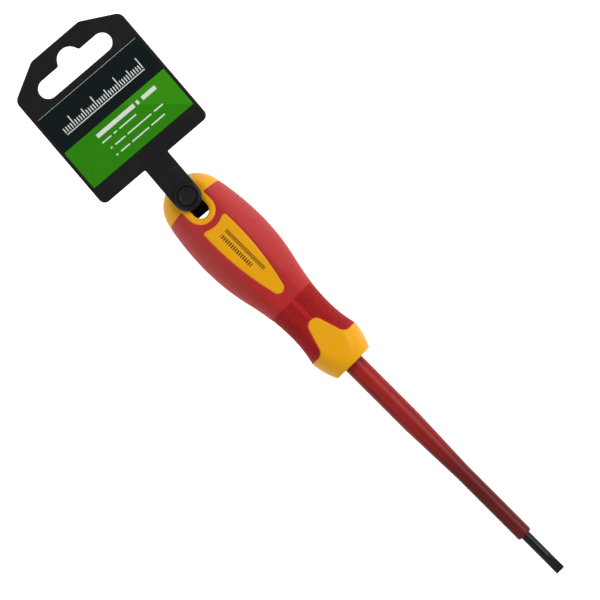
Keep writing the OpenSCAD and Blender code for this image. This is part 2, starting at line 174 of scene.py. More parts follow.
class HangerSettings(PropertyGroup):
    """The hanging card, its two arms and the snap pin."""
    tilt: FloatProperty(name="Tilt", description="Angle of the hanger to the tool's axis", subtype="ANGLE",
                        unit="ROTATION", default=math.radians(4.5))
    arm_radius: length("Arm radius", "Half width of the arms", 5.05)
    card_thickness: length("Card thickness", "Thickness of the card and the front arm", 1.6)
    strap_thickness: length("Strap thickness", "Thickness of the rear arm", 1.2)
    card_near: length("Near edge", "Distance from the pin to the card's near edge", 15.9)
    card_far: length("Far edge", "Distance from the pin to the card's far edge", 68.9)
    card_half_width: length("Half width", "Half width of the card", 23.35)
    card_top_half_width: length("Top half width", "Half width of the far edge between its chamfers", 10.5)
    card_chamfer: length("Chamfer", "Length of the chamfers along the card", 7)
    card_corner: length("Corner", "Corner radius of the card", 2.3)
    peg_at: length("Peg slot place", "Distance from the pin to the middle of the peg slot", 58.2)
    peg_half_length: length("Peg slot half length", "Distance to the peg slot's round ends", 12.0)
    peg_half_height: length("Peg slot half height", "Half height of the peg slot", 3.45)
    notch_rise: length("Notch rise", "Distance of the peg notch beyond the slot's middle", 2.8)
    notch_radius: length("Notch radius", "Radius of the peg notch", 4.4)
    strap_end: length("Strap end", "Length of the rear arm's square end beyond the pin", 7.7)
    fold_at: length("Fold", "Distance from the pin to the fold that joins the arms", 13.9)
    boss_radius: length("Boss radius", "Radius of the boss round the button", 4.6)
    recess_radius: length("Recess radius", "Radius of the recess round the button", 3.5)
    hole_radius: length("Hole radius", "Radius of the arms' holes", 2.8)
    button_radius: length("Button radius", "Radius of the pin's button", 3.25)
    button_thickness: length("Button thickness", "Thickness of the button", 0.9)
    shaft_radius: length("Shaft radius", "Radius of the pin's shaft", 2.75)
    slit_width: length("Slit width", "Width of the slit in the pin's foot", 0.9)
    slit_length: length("Slit length", "Depth of the slit in the pin's foot", 7)
    plastic: colour("Hanger plastic", "Colour of the black plastic", 21, 20, 20)


class LabelSettings(PropertyGroup):
    """The printed front label and the plain back label."""
    thickness: length("Thickness", "Thickness of the labels", 0.15)
    inset: length("Inset", "Distance from the card's near edge to the front label", 6.5)
    label_length: length("Length", "Length of the front label along the card", 29.9)
    half_width: length("Half width", "Half width of the front label", 22.1)
    split_at: length("Split", "Distance from the pin to the line between the two fields", 38.0)
    back_half_width: length("Back half width", "Half width of the back label", 18)
    back_length: length("Back length", "Length of the back label along the card", 24)
    corner: length("Corner", "Corner radius of the labels", 0.5)
    dark: colour("Dark field", "Colour of the label's dark field", 13, 24, 27)
    green: colour("Green field", "Colour of the label's green field", 46, 136, 8)
    leaf: colour("Light green field", "Colour of the lighter corner of the green field", 56, 148, 12)
    ink: colour("Ink", "Colour of the light print", 226, 232, 226)
    paper: colour("Paper", "Colour of the back label", 222, 221, 214)


class StageSettings(PropertyGroup):
    """The floor, the lights and the camera."""
    view_width: length("View width", "Width of the view at the tool", 204.7)
    centre_x: FloatProperty(name="Centre X", description="Middle of the view along the tool", unit="LENGTH",
                            default=-28.1 * MM)
    centre_y: FloatProperty(name="Centre Y", description="Middle of the view across the tool", unit="LENGTH",
                            default=2.3 * MM)
    lens: FloatProperty(name="Lens", description="Focal length of the camera in millimetres", default=300.0)
    floor_drop: length("Floor drop", "Height of the tool's lowest point above the floor", 45)


# ---------------------------------------------------------------- plan fields and arcs

def arc_height(at, centre, radius, side):
    """Height of a circle at places along the axis: the centre's height plus or minus the half chord."""
    return centre[1] + side * np.sqrt(np.maximum(radius**2 - (at - centre[0])**2, 0.0))


def arc_centre(p, q, radius):
    """Centre of the circle of that radius through p and q that lies below them."""
    p, q = np.array(p), np.array(q)
    chord = q - p
    span = np.linalg.norm(chord)
    drop = math.sqrt(radius**2 - span**2 / 4)
    return (p + q) / 2 + drop * np.array([chord[1], -chord[0]]) / span


def disc(x, y, centre_x, centre_y, radius):
    """Distance outside a circle."""
    return np.hypot(x - centre_x, y - centre_y) - radius


def stadium(x, y, start, end, radius):
    """Distance outside a stadium: distance to the segment between its two centres, less its radius."""
    start, end = np.array(start), np.array(end)
    along = end - start
    share = np.clip(((x - start[0]) * along[0] + (y - start[1]) * along[1]) / (along @ along), 0, 1)
    return np.hypot(x - start[0] - share * along[0], y - start[1] - share * along[1]) - radius


def joined(a, b, fillet):
    """Both of two plan shapes, with a round of that radius in the corners between them."""
    return np.maximum(fillet, np.minimum(a, b)) - np.hypot(np.maximum(fillet - a, 0),
                                                           np.maximum(fillet - b, 0))


def common(a, b, corner):
    """What two plan shapes have in common, with its corners rounded."""
    return np.minimum(-corner, np.maximum(a, b)) + np.hypot(np.maximum(corner + a, 0),
                                                            np.maximum(corner + b, 0))


def rounded_outline(x, y, corners, corner):
    """Distance outside a convex outline with rounded corners: the distance to its edges, each moved in by
    the corner radius, less that radius."""
    p = np.array(corners, float)
    edge = np.roll(p, -1, 0) - p
    normal = np.stack([edge[:, 1], -edge[:, 0]], 1) / np.linalg.norm(edge, axis=1)[:, None]
    level = (normal * p).sum(1) - corner
    before = np.roll(np.arange(len(p)), 1)
    inner = np.stack([np.linalg.solve(normal[[k, b]], level[[k, b]]) for k, b in enumerate(before)])
    inside = np.max([x * n[0] + y * n[1] - c for n, c in zip(normal, level)], 0)
    outside = np.min([stadium(x, y, a, b, 0) for a, b in zip(inner, np.roll(inner, -1, 0))], 0)
    return np.where(inside < 0, inside, outside) - corner


def ease(value, low, high):
    """Smooth step from 0 to 1 between two values."""
    share = np.clip((value - low) / (high - low), 0, 1)
    return share * share * (3 - 2 * share)


class HandleForm:
    """The handle's outside, worked out from its settings: arcs that meet end to end, turned round the axis,
    with a facet in front and behind, and the plan lines of the grip on it."""

    def __init__(self, handle, grip):
        s = self.s = handle
        self.grip = grip
        self.barrel = s.barrel_at
        self.waist = s.waist_at
        rise = s.barrel_radius - s.waist_radius
        run = self.barrel - self.waist
        total = (run**2 + rise**2) / (2 * rise)
        hollow, swell = 0.485 * total, 0.515 * total
        self.front_arcs = [((self.waist, s.waist_radius + s.collar_curve), s.collar_curve, -1),
                           ((self.waist, s.waist_radius + hollow), hollow, -1),
                           ((self.barrel, s.barrel_radius - swell), swell, 1)]
        self.share = hollow / total
        self.total = total
        self.rear = ((self.barrel, s.barrel_radius - s.rear_curve), s.rear_curve)
        span = s.rear_curve - HANDLE_LENGTH
        self.butt_at = (self.barrel**2 + self.rear[0][1]**2 - span**2) / (2 * (span + self.barrel))
        self.butt_radius = HANDLE_LENGTH - self.butt_at
        towards = np.array([self.butt_at - self.barrel, -self.rear[0][1]])
        towards /= np.linalg.norm(towards)
        self.butt_meets = self.butt_at + self.butt_radius * towards[0]
        self.butt_turn = math.acos(towards[0])
        guard_top = float(arc_height(GUARD_AT, self.front_arcs[0][0], s.collar_curve, -1))
        self.guard_centre = arc_centre((s.face_edge, s.face_radius), (GUARD_AT, guard_top), s.guard_curve)
        self.edge_length = s.face_edge * math.pi / 2
        self.start = -self.edge_length - (s.face_radius - s.face_edge - SLEEVE_RADIUS)
        self.butt_start = self.butt_meets - s.face_edge
        self.end = self.butt_start + self.butt_turn * self.butt_radius

    def front(self, at, depth):
        """Outline from the guard to the barrel, a depth under the skin: two hollow arcs and a swelling one."""
        meets = self.waist + (self.barrel - self.waist) * (self.share + depth / self.total)
        heights = [arc_height(at, c, r - side * depth, side) for c, r, side in self.front_arcs]
        return np.select([at < self.waist, at < meets], heights[:2], heights[2])

    def radius(self, at):
        """Radius of the round form at a distance back from the guard face."""
        guard = arc_height(at, self.guard_centre, self.s.guard_curve, 1)
        rear = arc_height(at, self.rear[0], self.rear[1], 1)
        return np.select([at < GUARD_AT, at < self.barrel], [guard, self.front(at, 0)], rear)

    def facet(self, at):
        """Height of the facets: level over the guard, the outline moved in as far as the barrel, then an arc."""
        s = self.s
        centre = (self.barrel, s.barrel_radius - s.facet_depth - s.facet_curve)
        return np.where(at < self.barrel, self.front(np.maximum(at, GUARD_AT), s.facet_depth),
                        arc_height(at, centre, s.facet_curve, 1))

    def profile(self, u):
        """Place along the axis and radius at u along the skin: the flat face and its round edge before zero,
        then the arcs by their place along the axis, then the butt's sphere by its arc."""
        s = self.s
        turn = np.clip((u + self.edge_length) / s.face_edge, 0, math.pi / 2)
        face_r = s.face_radius - s.face_edge
        edge_at = s.face_edge * (1 - np.cos(turn))
        edge_r = face_r + s.face_edge * np.sin(turn) + np.minimum(u + self.edge_length, 0)
        angle = self.butt_turn - np.maximum(u - self.butt_start, 0) / self.butt_radius
        at = np.select([u < 0, u < self.butt_start],
                       [edge_at, s.face_edge + u], self.butt_at + self.butt_radius * np.cos(angle))
        return at, np.select([u < 0, u < self.butt_start],
                             [edge_r, self.radius(at)], self.butt_radius * np.sin(angle))

    def skin(self, u, turn, lift=0.0):
        """Point of the skin: the profile's radius, held down softly where the facet is lower, plus a lift,
        turned round the axis from the front."""
        at, radius = self.profile(u)
        ratio = radius * np.abs(np.cos(turn)) / self.facet(at)
        reach = radius * (1 + ratio**FACET_SHARPNESS) ** (-1 / FACET_SHARPNESS) + lift
        return np.stack([-at, reach * np.sin(turn), reach * np.cos(turn)], -1)

    def plan(self, u, turn):
        """Where a point of the skin lies in plan: distance back and distance across."""
        point = self.skin(u, turn)
        return -point[..., 0], np.abs(point[..., 1])

    def slot(self, u, turn):
        """Distance outside the hanging slot, in plan."""
        at, across = self.plan(u, turn)
        s = self.s
        return stadium(at, across, (s.slot_front_at, 0), (s.slot_rear_at, 0), s.slot_half_width)

    def ring(self, at, across):
        """Distance outside the hard ring round the slot, which is open towards the butt."""
        s = self.s
        return np.hypot(np.maximum(s.slot_front_at - at, 0), across) - s.slot_half_width - s.ring_wall

    def tongue(self, at, across):
        """Distance outside the guard's tongue: a round end and its two tangents through the tongue's root."""
        g = self.grip
        root = np.array([GUARD_AT - g.tongue_end_at, g.tongue_root])
        angle = math.atan2(root[1], root[0]) - math.acos(g.tongue_radius / np.linalg.norm(root))
        normal = (math.cos(angle), math.sin(angle))
        x = at - g.tongue_end_at
        side = x * normal[0] + across * normal[1]
        past = x * normal[1] - across * normal[0] > 0
        return np.where(past, np.hypot(x, across), side) - g.tongue_radius

    def window(self, at, across):
        """Distance outside the window: two long arcs, a round front end and a hollow rear end."""
        g, s = self.grip, self.s
        below = g.window_side_curve - g.window_half_width
        sides = np.hypot(at - g.window_widest_at, across + below) - g.window_side_curve
        front_r = math.sqrt(g.window_side_curve**2 - (g.window_front_at - g.window_widest_at) ** 2) - below
        front = np.hypot(at - g.window_front_at, across) - front_r
        hollow = s.slot_half_width + s.ring_wall + g.window_band
        ends = at - s.slot_front_at + hollow - g.window_corner_length
        rear = common(hollow - np.hypot(at - s.slot_front_at, across), ends, 0.3 * MM)
        return common(np.where(at < g.window_front_at, front, sides), rear, g.window_corner)

    def seam(self, u, turn):
        """Distance inside the soft grip in plan: above zero on the grip, below zero on the hard plastic."""
        g = self.grip
        at, across = self.plan(u, turn)
        guard = joined(at - GUARD_AT, self.tongue(at, across), g.tongue_fillet)
        rear = g.end_curve - np.hypot(at - g.end_at + g.end_curve, across)
        butt = joined(rear, self.ring(at, across), 0.4 * MM)
        return np.minimum(np.minimum(guard, butt), self.window(at, across))


# ---------------------------------------------------------------- grids

def cells(rows, columns, wraps):
    """Corner numbers of every cell of a grid, in the same sense for each cell."""
    i, j = np.meshgrid(np.arange(rows - 1), np.arange(columns if wraps else columns - 1), indexing="ij")
    k = (j + 1) % columns
    corners = [i * columns + j, (i + 1) * columns + j, (i + 1) * columns + k, i * columns + k]
    return np.stack(corners, -1).reshape(-1, 4)


def moved_to_line(line, u, v, wrap=None):
    """Moves grid places on to a field's zero line: where the line crosses an edge of the grid, found by
    halving, the nearer end of that edge goes to the crossing. Gives the places and the field there."""
    value = line(u, v)
    nearest = np.full(u.shape, np.inf)
    new_u, new_v = u.copy(), v.copy()
    for axis in (0, 1):
        u2, v2, value2 = (np.roll(a, -1, axis) for a in (u, v, value))
        crosses = value * value2 < 0
        if axis == 0:
            crosses[-1] = False
        elif wrap:
            v2[:, -1] += wrap
        else:
            crosses[:, -1] = False
        low, high = np.zeros(u.shape), np.ones(u.shape)
        for _ in range(14):
            middle = (low + high) / 2
            before = line(u + middle * (u2 - u), v + middle * (v2 - v)) * value > 0
            low, high = np.where(before, middle, low), np.where(before, high, middle)
        place = [u + low * (u2 - u), v + low * (v2 - v)]
        for end in (0, 1):
            share = np.where(crosses, np.abs(end - low), np.inf)
            found = [np.roll(a, end, axis) for a in (share, *place)]
            take = (found[0] <= 0.5) & (found[0] < nearest)
            nearest = np.where(take, found[0], nearest)
            new_u, new_v = np.where(take, found[1], new_u), np.where(take, found[2], new_v)
    return new_u, new_v, np.where(np.isfinite(nearest), 0.0, value)


def cut_cells(faces, value):
    """Cells, and the two triangles of each cell that the zero line crosses from corner to corner."""
    flat = value.ravel()
    at = flat[faces]
    crossed = (at > 0).any(1) & (at < 0).any(1)
    split = faces[crossed]
    turned = np.where((flat[split[:, :1]] == 0) & (flat[split[:, 2:3]] == 0), split, np.roll(split, -1, 1))
    return faces[~crossed], np.concatenate([turned[:, [0, 1, 2]], turned[:, [0, 2, 3]]])


def side_of(faces, value):
    """Which side of the zero line each face lies on: the sign of the field's sum over its corners."""
    return value.ravel()[faces].sum(1)


def open_edges(*groups):
    """Edges that only one face uses, in that face's direction."""
    edges = np.concatenate([np.stack([f, np.roll(f, -1, 1)], -1).reshape(-1, 2) for f in groups if len(f)])
    keys = np.sort(edges, 1)
    _, first, count = np.unique(keys, axis=0, return_index=True, return_counts=True)
    return edges[first[count == 1]]


def volume(points, faces):
    """Signed volume inside closed faces: a sixth of the sum of their corners' triple products."""
    total = 0.0
    for group in faces:
        for k in range(1, group.shape[1] - 1):
            a, b, c = points[group[:, 0]], points[group[:, k]], points[group[:, k + 1]]
            total += (np.cross(a, b) * c).sum()
    return total / 6


class Shell:
    """The points and faces of one piece, gathered patch by patch."""

    def __init__(self):
        self.points, self.faces, self.marks, self.tints, self.count = [], [], [], [], 0

    def add(self, points, *faces, mark=1.0, tint=0, closed=False):
        """Adds a patch. A closed one is turned so that its faces point outwards. The mark is a number from
        0 to 1 at each point that a finish can read, and the tint is the number of the patch's material."""
        points = np.asarray(points, float).reshape(-1, 3)
        faces = [f for f in faces if len(f)]
        if closed and volume(points, faces) < 0:
            faces = [f[:, ::-1] for f in faces]
        self.points.append(points)
        self.marks.append(np.broadcast_to(mark, len(points)))
        self.faces += [f + self.count for f in faces]
        self.tints += [np.full(len(f), tint) for f in faces]
        self.count += len(points)

    def piece(self, name, materials, body, slot, nodes=(), sharp=32):
        """Makes the mesh, with doubles merged and edges sharper than an angle left crisp, hangs it on the body
        it rides on, gives it its materials and hides the nodes it stands for; the slot is not used."""
        points, marks = np.concatenate(self.points), np.concatenate(self.marks)
        used, renumbered = np.unique(np.concatenate([f.ravel() for f in self.faces]), return_inverse=True)
        mesh = bpy.data.meshes.new(name)
        corners, start = [], 0
        for f in self.faces:
            corners += renumbered[start:start + f.size].reshape(f.shape).tolist()
            start += f.size
        mesh.from_pydata(points[used].tolist(), [], corners)
        attribute = mesh.attributes.new("mark", "FLOAT", "POINT")
        attribute.data.foreach_set("value", marks[used].astype(np.float32))
        mesh.polygons.foreach_set("material_index", np.concatenate(self.tints).astype(np.int32))
        rebuilt = bmesh.new()
        rebuilt.from_mesh(mesh)
        bmesh.ops.remove_doubles(rebuilt, verts=rebuilt.verts, dist=1e-7)
        bmesh.ops.dissolve_degenerate(rebuilt, edges=rebuilt.edges, dist=1e-7)
        rebuilt.to_mesh(mesh)
        rebuilt.free()
        mesh.shade_smooth()
        mesh.set_sharp_from_angle(angle=math.radians(sharp))
        made = bpy.data.objects.new(name, mesh)
        for material in materials:
            mesh.materials.append(material)
        bpy.context.scene.collection.objects.link(made)
        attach(made, body)
        if nodes:
            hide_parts(*nodes)
        return made


def lofted(rings, joined_ends=False):
    """Skin over closed rings of equal count, joined end to start or capped by fans to each end's middle."""
    rings = np.asarray(rings, float)
    count, around = rings.shape[:2]
    points = rings.reshape(-1, 3)
    if joined_ends:
        faces = cells(count + 1, around, True) % (count * around)
        return points, [faces]
    faces = cells(count, around, True)
    middles = np.stack([rings[0].mean(0), rings[-1].mean(0)])
    step = np.arange(around)
    after = (step + 1) % around
    low = np.stack([step, after, np.full(around, count * around)], 1)
    last = (count - 1) * around
    high = np.stack([last + after, last + step, np.full(around, count * around + 1)], 1)
    return np.concatenate([points, middles]), [faces, low, high]


def turned(profile, steps, axis, centre=(0.0, 0.0, 0.0)):
    """Rings of a profile turned round an axis: each point's first number is its place along the axis and
    its second the radius."""
    profile = np.asarray(profile, float)
    angle = np.linspace(0, 2 * math.pi, steps, endpoint=False)
    along = np.repeat(profile[:, :1], steps, 1)
    first, second = profile[:, 1:] * np.cos(angle), profile[:, 1:] * np.sin(angle)
    order = [along, first, second] if axis == "x" else [first, second, along]
    return np.stack(order, -1) + np.array(centre)


def rounded_run(*corners, steps=5):
    """A profile through corners, each with its own rounding radius: a corner with one becomes an arc between
    the points that lie its tangent length along both sides."""
    run = []
    for k, (x, y, radius) in enumerate(corners):
        here = np.array([x, y])
        if not radius:
            run.append(here[None])
            continue
        before = np.array(corners[k - 1][:2]) - here
        after = np.array(corners[(k + 1) % len(corners)][:2]) - here
        before, after = before / np.linalg.norm(before), after / np.linalg.norm(after)
        half = math.acos(np.clip(before @ after, -1, 1)) / 2
        middle = here + (before + after) / np.linalg.norm(before + after) * radius / math.sin(half)
        starts = [here + side * radius / math.tan(half) - middle for side in (before, after)]
        share = np.linspace(0, 1, steps + 1)[:, None]
        sweep = math.pi - 2 * half
        run.append(middle + (np.sin((1 - share) * sweep) * starts[0] + np.sin(share * sweep) * starts[1])
                   / math.sin(sweep))
    return np.concatenate(run)


def plate(field, xs, ys, bottom, top, edge):
    """A flat plate of any outline: the grid inside the line that lies one edge radius in from the outline,
    above and below, and quarter rounds carried outwards round every outline along the field's slope."""
    x, y = np.meshgrid(xs, ys, indexing="ij")
    x, y, value = moved_to_line(lambda a, b: field(a, b) + edge, x, y)
    groups = [f[side_of(f, value) < 0] for f in cut_cells(cells(*x.shape, False), value)]
    groups = [f for f in groups if len(f)]
    flat = np.stack([x.ravel(), y.ravel()], 1)
    above = np.column_stack([flat, np.full(len(flat), top)])
    below = np.column_stack([flat, np.full(len(flat), bottom)])
    rim_edges = open_edges(*groups)
    rim, numbers = np.unique(rim_edges, return_inverse=True)
    numbers = numbers.reshape(-1, 2)
    px, py = flat[rim].T
    tiny = 0.02 * MM
    slope = np.stack([field(px + tiny, py) - field(px - tiny, py),
                      field(px, py + tiny) - field(px, py - tiny)])
    slope /= np.maximum(np.linalg.norm(slope, axis=0), 1e-12)
    angle = np.linspace(0, math.pi / 2, 4)
    out = edge * np.concatenate([np.sin(angle), np.sin(angle)[::-1]])
    level = np.concatenate([top - edge * (1 - np.cos(angle)), bottom + edge * (1 - np.cos(angle))[::-1]])
    rings = np.stack([px + out[:, None] * slope[0], py + out[:, None] * slope[1],
                      np.repeat(level[:, None], len(rim), 1)], -1)
    step = np.arange(len(level) - 1)[:, None] * len(rim)
    a, b = numbers[:, 0] + step, numbers[:, 1] + step
    walls = np.stack([a, a + len(rim), b + len(rim), b], -1).reshape(-1, 4)
    count = len(flat)
    points = np.concatenate([above, below, rings.reshape(-1, 3)])
    return points, groups + [f[:, ::-1] + count for f in groups] + [walls + 2 * count]


def on_hanger(points, tilt):
    """Turns what is laid out along +X from the pin to the hanger's place and tilt."""
    angle = math.pi - tilt
    turn = np.array([[math.cos(angle), math.sin(angle), 0], [-math.sin(angle), math.cos(angle), 0],
                     [0, 0, 1]])
    return np.asarray(points) @ turn + np.array([-PIN_AT, 0, 0])


# ---------------------------------------------------------------- materials

class Value:
    """A socket in a material that can be worked with as a number: an operator adds the Math node for it."""

    def __init__(self, finish, socket):
        self.finish, self.socket = finish, socket

    def math(self, operation, *others):
        return self.finish.node("ShaderNodeMath", {"operation": operation},
                                **{str(k): v for k, v in enumerate((self, *others))})

    def __add__(self, other): return self.math("ADD", other)
    def __sub__(self, other): return self.math("SUBTRACT", other)
    def __mul__(self, other): return self.math("MULTIPLY", other)
    def __truediv__(self, other): return self.math("DIVIDE", other)
    def __pow__(self, other): return self.math("POWER", other)
    def __radd__(self, other): return self.math("ADD", other)
    def __rmul__(self, other): return self.math("MULTIPLY", other)
    def __rsub__(self, other): return self.finish.constant(other).math("SUBTRACT", self)
    def __rtruediv__(self, other): return self.finish.constant(other).math("DIVIDE", self)
    def __neg__(self): return self.math("MULTIPLY", -1.0)
    def __abs__(self): return self.math("ABSOLUTE")
    def above(self, level): return self.math("GREATER_THAN", level)
    def step(self, low, high):
        """Smooth step from 0 to 1 between two values."""
        settings = {"interpolation_type": "SMOOTHSTEP"}
        return self.finish.node("ShaderNodeMapRange", settings,
                                **{"Value": self, "From Min": low, "From Max": high})


class Finish:
    """A material and its Principled shader, with one method that makes any node."""

    def __init__(self, name, roughness, metallic=0.0, specular=0.5):
        self.material = bpy.data.materials.new(name)
        self.material.use_nodes = True
        self.tree = self.material.node_tree
        self.shader = self.tree.nodes["Principled BSDF"]
        for socket, value in (("Roughness", roughness), ("Metallic", metallic),
                              ("Specular IOR Level", specular)):
            self.shader.inputs[socket].default_value = value

    def node(self, kind, settings=None, output=0, **inputs):
        """Makes a node, sets its settings, then fills its sockets by name or number with values or links."""
        made = self.tree.nodes.new(kind)
        for name, value in (settings or {}).items():
            setattr(made, name, value)
        for name, value in inputs.items():
            socket = made.inputs[int(name)] if name.isdigit() else made.inputs[name]
            self.fill(socket, value)
        return Value(self, made.outputs[output])

    def fill(self, socket, value):
        """Puts a value or a link into a socket."""
        if isinstance(value, Value):
            self.tree.links.new(value.socket, socket)
        elif socket.type == "RGBA" and len(value) == 3:
            socket.default_value = (*value, 1.0)
        else:
            socket.default_value = value

    def constant(self, number):
        """A number as a socket, for the left side of an expression."""
        return self.node("ShaderNodeMath", {"operation": "ADD"}, **{"0": float(number), "1": 0.0})

    def place(self):
        """Object coordinates, which are metres in the frame."""
        return self.node("ShaderNodeTexCoord", output="Object")

    def across(self):
        """The three object coordinates as separate values."""
        parts = self.tree.nodes.new("ShaderNodeSeparateXYZ")
        self.fill(parts.inputs[0], self.place())
        return [Value(self, parts.outputs[k]) for k in range(3)]

    def mark(self):
        """The number that the piece's own mesh holds at each point."""
        return self.node("ShaderNodeAttribute", {"attribute_name": "mark"}, output="Fac")

    def noise(self, scale, detail=4.0, roughness=0.55, stretch=(1.0, 1.0, 1.0)):
        """Soft noise from 0 to 1, with its features about one over the scale in metres across."""
        where = self.node("ShaderNodeMapping", {}, Vector=self.place(), Scale=stretch)
        settings = {"noise_dimensions": "3D"}
        return self.node("ShaderNodeTexNoise", settings, Vector=where, Scale=scale, Detail=detail,
                         Roughness=roughness)

    def mixed(self, share, first, second):
        """A colour between two others."""
        return self.node("ShaderNodeMix", {"data_type": "RGBA"}, 2, **{"0": share, "6": first, "7": second})

    def colour(self, value):
        """Sets the base colour."""
        self.fill(self.shader.inputs["Base Color"], value)

    def rough(self, value):
        """Sets the roughness."""
        self.fill(self.shader.inputs["Roughness"], value)

    def bump(self, height, distance, strength=1.0):
        """Bends the shading by a height that is worth a distance in metres."""
        self.fill(self.shader.inputs["Normal"],
                  self.node("ShaderNodeBump", {}, Height=height, Distance=distance, Strength=strength))


def shade(colour_value, factor):
    """A colour made lighter or darker."""
    return tuple(min(1.0, c * factor) for c in colour_value)


def hard_plastic(settings):
    """Satin moulded yellow with an orange lip along its seams, the same dark orange as painted shade on the
    slot's wall, and, in the window, two rows of plain ticks.
    """
    f = Finish("Yellow plastic", roughness=0.38, specular=0.16)
    base = tuple(settings.plastic)
    body = f.mixed(f.noise(60, detail=3).step(0.3, 0.7) * 0.5, base, shade(base, 0.93))
    # orange lip at the seams; the slot's wall, marked 0, takes the same colour as painted shade
    lip_and_slot_shade = 1 - f.mark().step(0.0, 0.3)
    body = f.mixed(lip_and_slot_shade * 0.7, body, (0.66, 0.18, 0.008))
    x, y, z = f.across()
    for row, (start, end, half, pitch) in enumerate(((-62.6, -44.2, 0.7, 0.72), (-62.5, -48.0, 0.75, 0.9))):
        middle = (1.3 - 2.4 * row) * MM
        wave = ((x * (1 / (pitch * MM))).math("FRACT") - 0.5).math("ABSOLUTE")
        tick = wave.step(0.34, 0.24) * (-abs(y - middle) + half * MM).step(-0.08 * MM, 0.08 * MM)
        reach = x.above(start * MM) * (-x).above(-end * MM) * z.above(0.0)
        body = f.mixed(tick * reach * 0.95, body, (0.05, 0.028, 0.006))
    f.colour(body)
    f.rough(0.36 + f.noise(900, detail=5) * 0.12)
    f.bump(f.noise(2600, detail=3), 0.012 * MM, 0.5)
    return f.material


def soft_rubber(settings):
    """Matt red rubber: a pale painted sheen on the smooth grip, strongest on its shoulders and towards its rear,
    none on the pads, and painted shade in the grooves and on the edge walls at the seams.
    """
    f = Finish("Red soft grip", roughness=0.55, specular=0.12)
    base = tuple(settings.rubber)
    x, y, z = f.across()
    smooth = (-x).step(29.9 * MM, 30.3 * MM)
    cloud = f.noise(45, detail=4).step(0.25, 0.75)
    fleck = f.noise(1500, detail=5, roughness=0.7).step(0.55, 0.8)
    body = f.mixed(cloud * 0.5, base, shade(base, 0.9))
    # painted sheen: a pale hazy colour painted over the smooth grip where the soft lights reflect, stronger away
    # from the middle line and towards the rear, with a faint even veil and noise
    shoulder = (abs(y) * 1.0).step(3 * MM, 10 * MM)
    rear = (-x).step(34 * MM, 76 * MM)
    bloom = smooth * (0.06 + shoulder * 0.08 + rear * shoulder * 0.16 + cloud * 0.06 + fleck * 0.08)
    body = f.mixed(bloom, body, tuple(settings.bloom))
    # painted shade: the mark falls in the pads' grooves, on the edge walls and on the inner faces, and there the
    # rubber's colour goes dark
    open_to_light = f.mark()
    body = f.mixed(1 - open_to_light.step(0.05, 0.5), body, shade(base, 0.3))
    f.colour(body)
    f.rough(0.5 + f.noise(300, detail=4) * 0.14)
    f.bump(f.noise(4200, detail=4, roughness=0.65), 0.02 * MM, 0.6)
    return f.material


def sleeve_plastic(settings):
    """Satin red insulation, darker where it was drawn thin, with streaks and specks along the blade, and painted
    shade, near black, where it goes into the guard.
    """
    f = Finish("Red sleeve", roughness=0.4, specular=0.12)
    base, dark = tuple(settings.sleeve), tuple(settings.sleeve_thin)
    x = f.across()[0]
    streak = f.noise(420, detail=4, stretch=(0.08, 1.0, 1.0))
    speck = f.noise(1300, detail=5, roughness=0.75).step(0.58, 0.76)
    patch = f.noise(160, detail=3, stretch=(0.4, 1.0, 1.0)).step(0.35, 0.7)
    body = f.mixed(x.step(22 * MM, 62 * MM), base, dark)
    body = f.mixed(streak.step(0.3, 0.7) * 0.35 + patch * 0.2, body, shade(dark, 0.75))
    marked = f.mixed(speck * 0.5, body, shade(dark, 0.4))
    # painted shade near the guard face, where the mark is low
    f.colour(f.mixed((1 - f.mark()) * 0.9, marked, shade(dark, 0.25)))
    f.rough(0.3 + f.noise(700, detail=5) * 0.14)
    f.bump(streak + speck * 0.5, 0.02 * MM, 0.5)
    return f.material


def black_steel(settings):
    """Blackened steel: dark oxide on the bar and finer, brighter grinding lines across the tip's faces."""
    f = Finish("Black steel", roughness=0.4, metallic=0.6, specular=0.3)
    base = tuple(settings.steel)
    ground = f.mark()
    lines = f.noise(2600, detail=3, stretch=(1.0, 0.05, 1.0))
    patch = f.noise(350, detail=5, roughness=0.65)
    oxide = f.mixed(patch.step(0.3, 0.75), shade(base, 0.5), shade(base, 1.2))
    bright = f.mixed(lines.step(0.35, 0.7), shade(base, 0.9), shade(base, 1.7))
    f.colour(f.mixed(ground, oxide, bright))
    f.rough(0.34 + patch * 0.16)
    f.bump(lines * ground + patch * 0.4, 0.015 * MM, 0.6)
    return f.material


def black_plastic(settings):
    """Black moulded plastic: a fine spark-eroded grain, faint rubbing and a soft shine on its edges."""
    f = Finish("Black hanger plastic", roughness=0.5, specular=0.22)
    base = tuple(settings.plastic)
    rub = f.noise(180, detail=5, roughness=0.6).step(0.45, 0.8)
    grain = f.noise(3800, detail=3, roughness=0.6)
    f.colour(f.mixed(rub * 0.5, base, shade(base, 1.5)))
    f.rough(0.42 + rub * 0.12)
    f.bump(grain, 0.018 * MM, 0.55)
    return f.material


def print_finish(name, base, roughness=0.45):
    """Printed film: an even colour with a faint roller mottle under a light varnish."""
    f = Finish(name, roughness=roughness, specular=0.1)
    base = tuple(base)
    f.colour(f.mixed(f.noise(500, detail=4).step(0.35, 0.7) * 0.35, base, shade(base, 0.86)))
    f.rough(roughness - 0.04 + f.noise(240, detail=3) * 0.1)
    f.bump(f.noise(1800, detail=3), 0.006 * MM, 0.4)
    return f.material


def floor_finish():
    """Pale painted studio floor, lit a little from within so that its shadows stay faint."""
    f = Finish("Pale floor", roughness=0.9, specular=0.1)
    f.colour(f.mixed(f.noise(6, detail=3) * 0.3, (0.93, 0.93, 0.925), (0.9, 0.9, 0.9)))
    f.shader.inputs["Emission Color"].default_value = (1.0, 1.0, 1.0, 1.0)
    f.shader.inputs["Emission Strength"].default_value = 0.62
    return f.material


# ---------------------------------------------------------------- pieces

class PieceOperator:
    """What every piece's operator shares."""
    bl_options = {"REGISTER", "UNDO"}

    def sizes(self, context):
        """The scene's settings groups, in the order handle, grip, blade, hanger, label, stage."""
        tool = context.scene.insulated_screwdriver
        return tool.handle, tool.grip, tool.blade, tool.hanger, tool.label, tool.stage


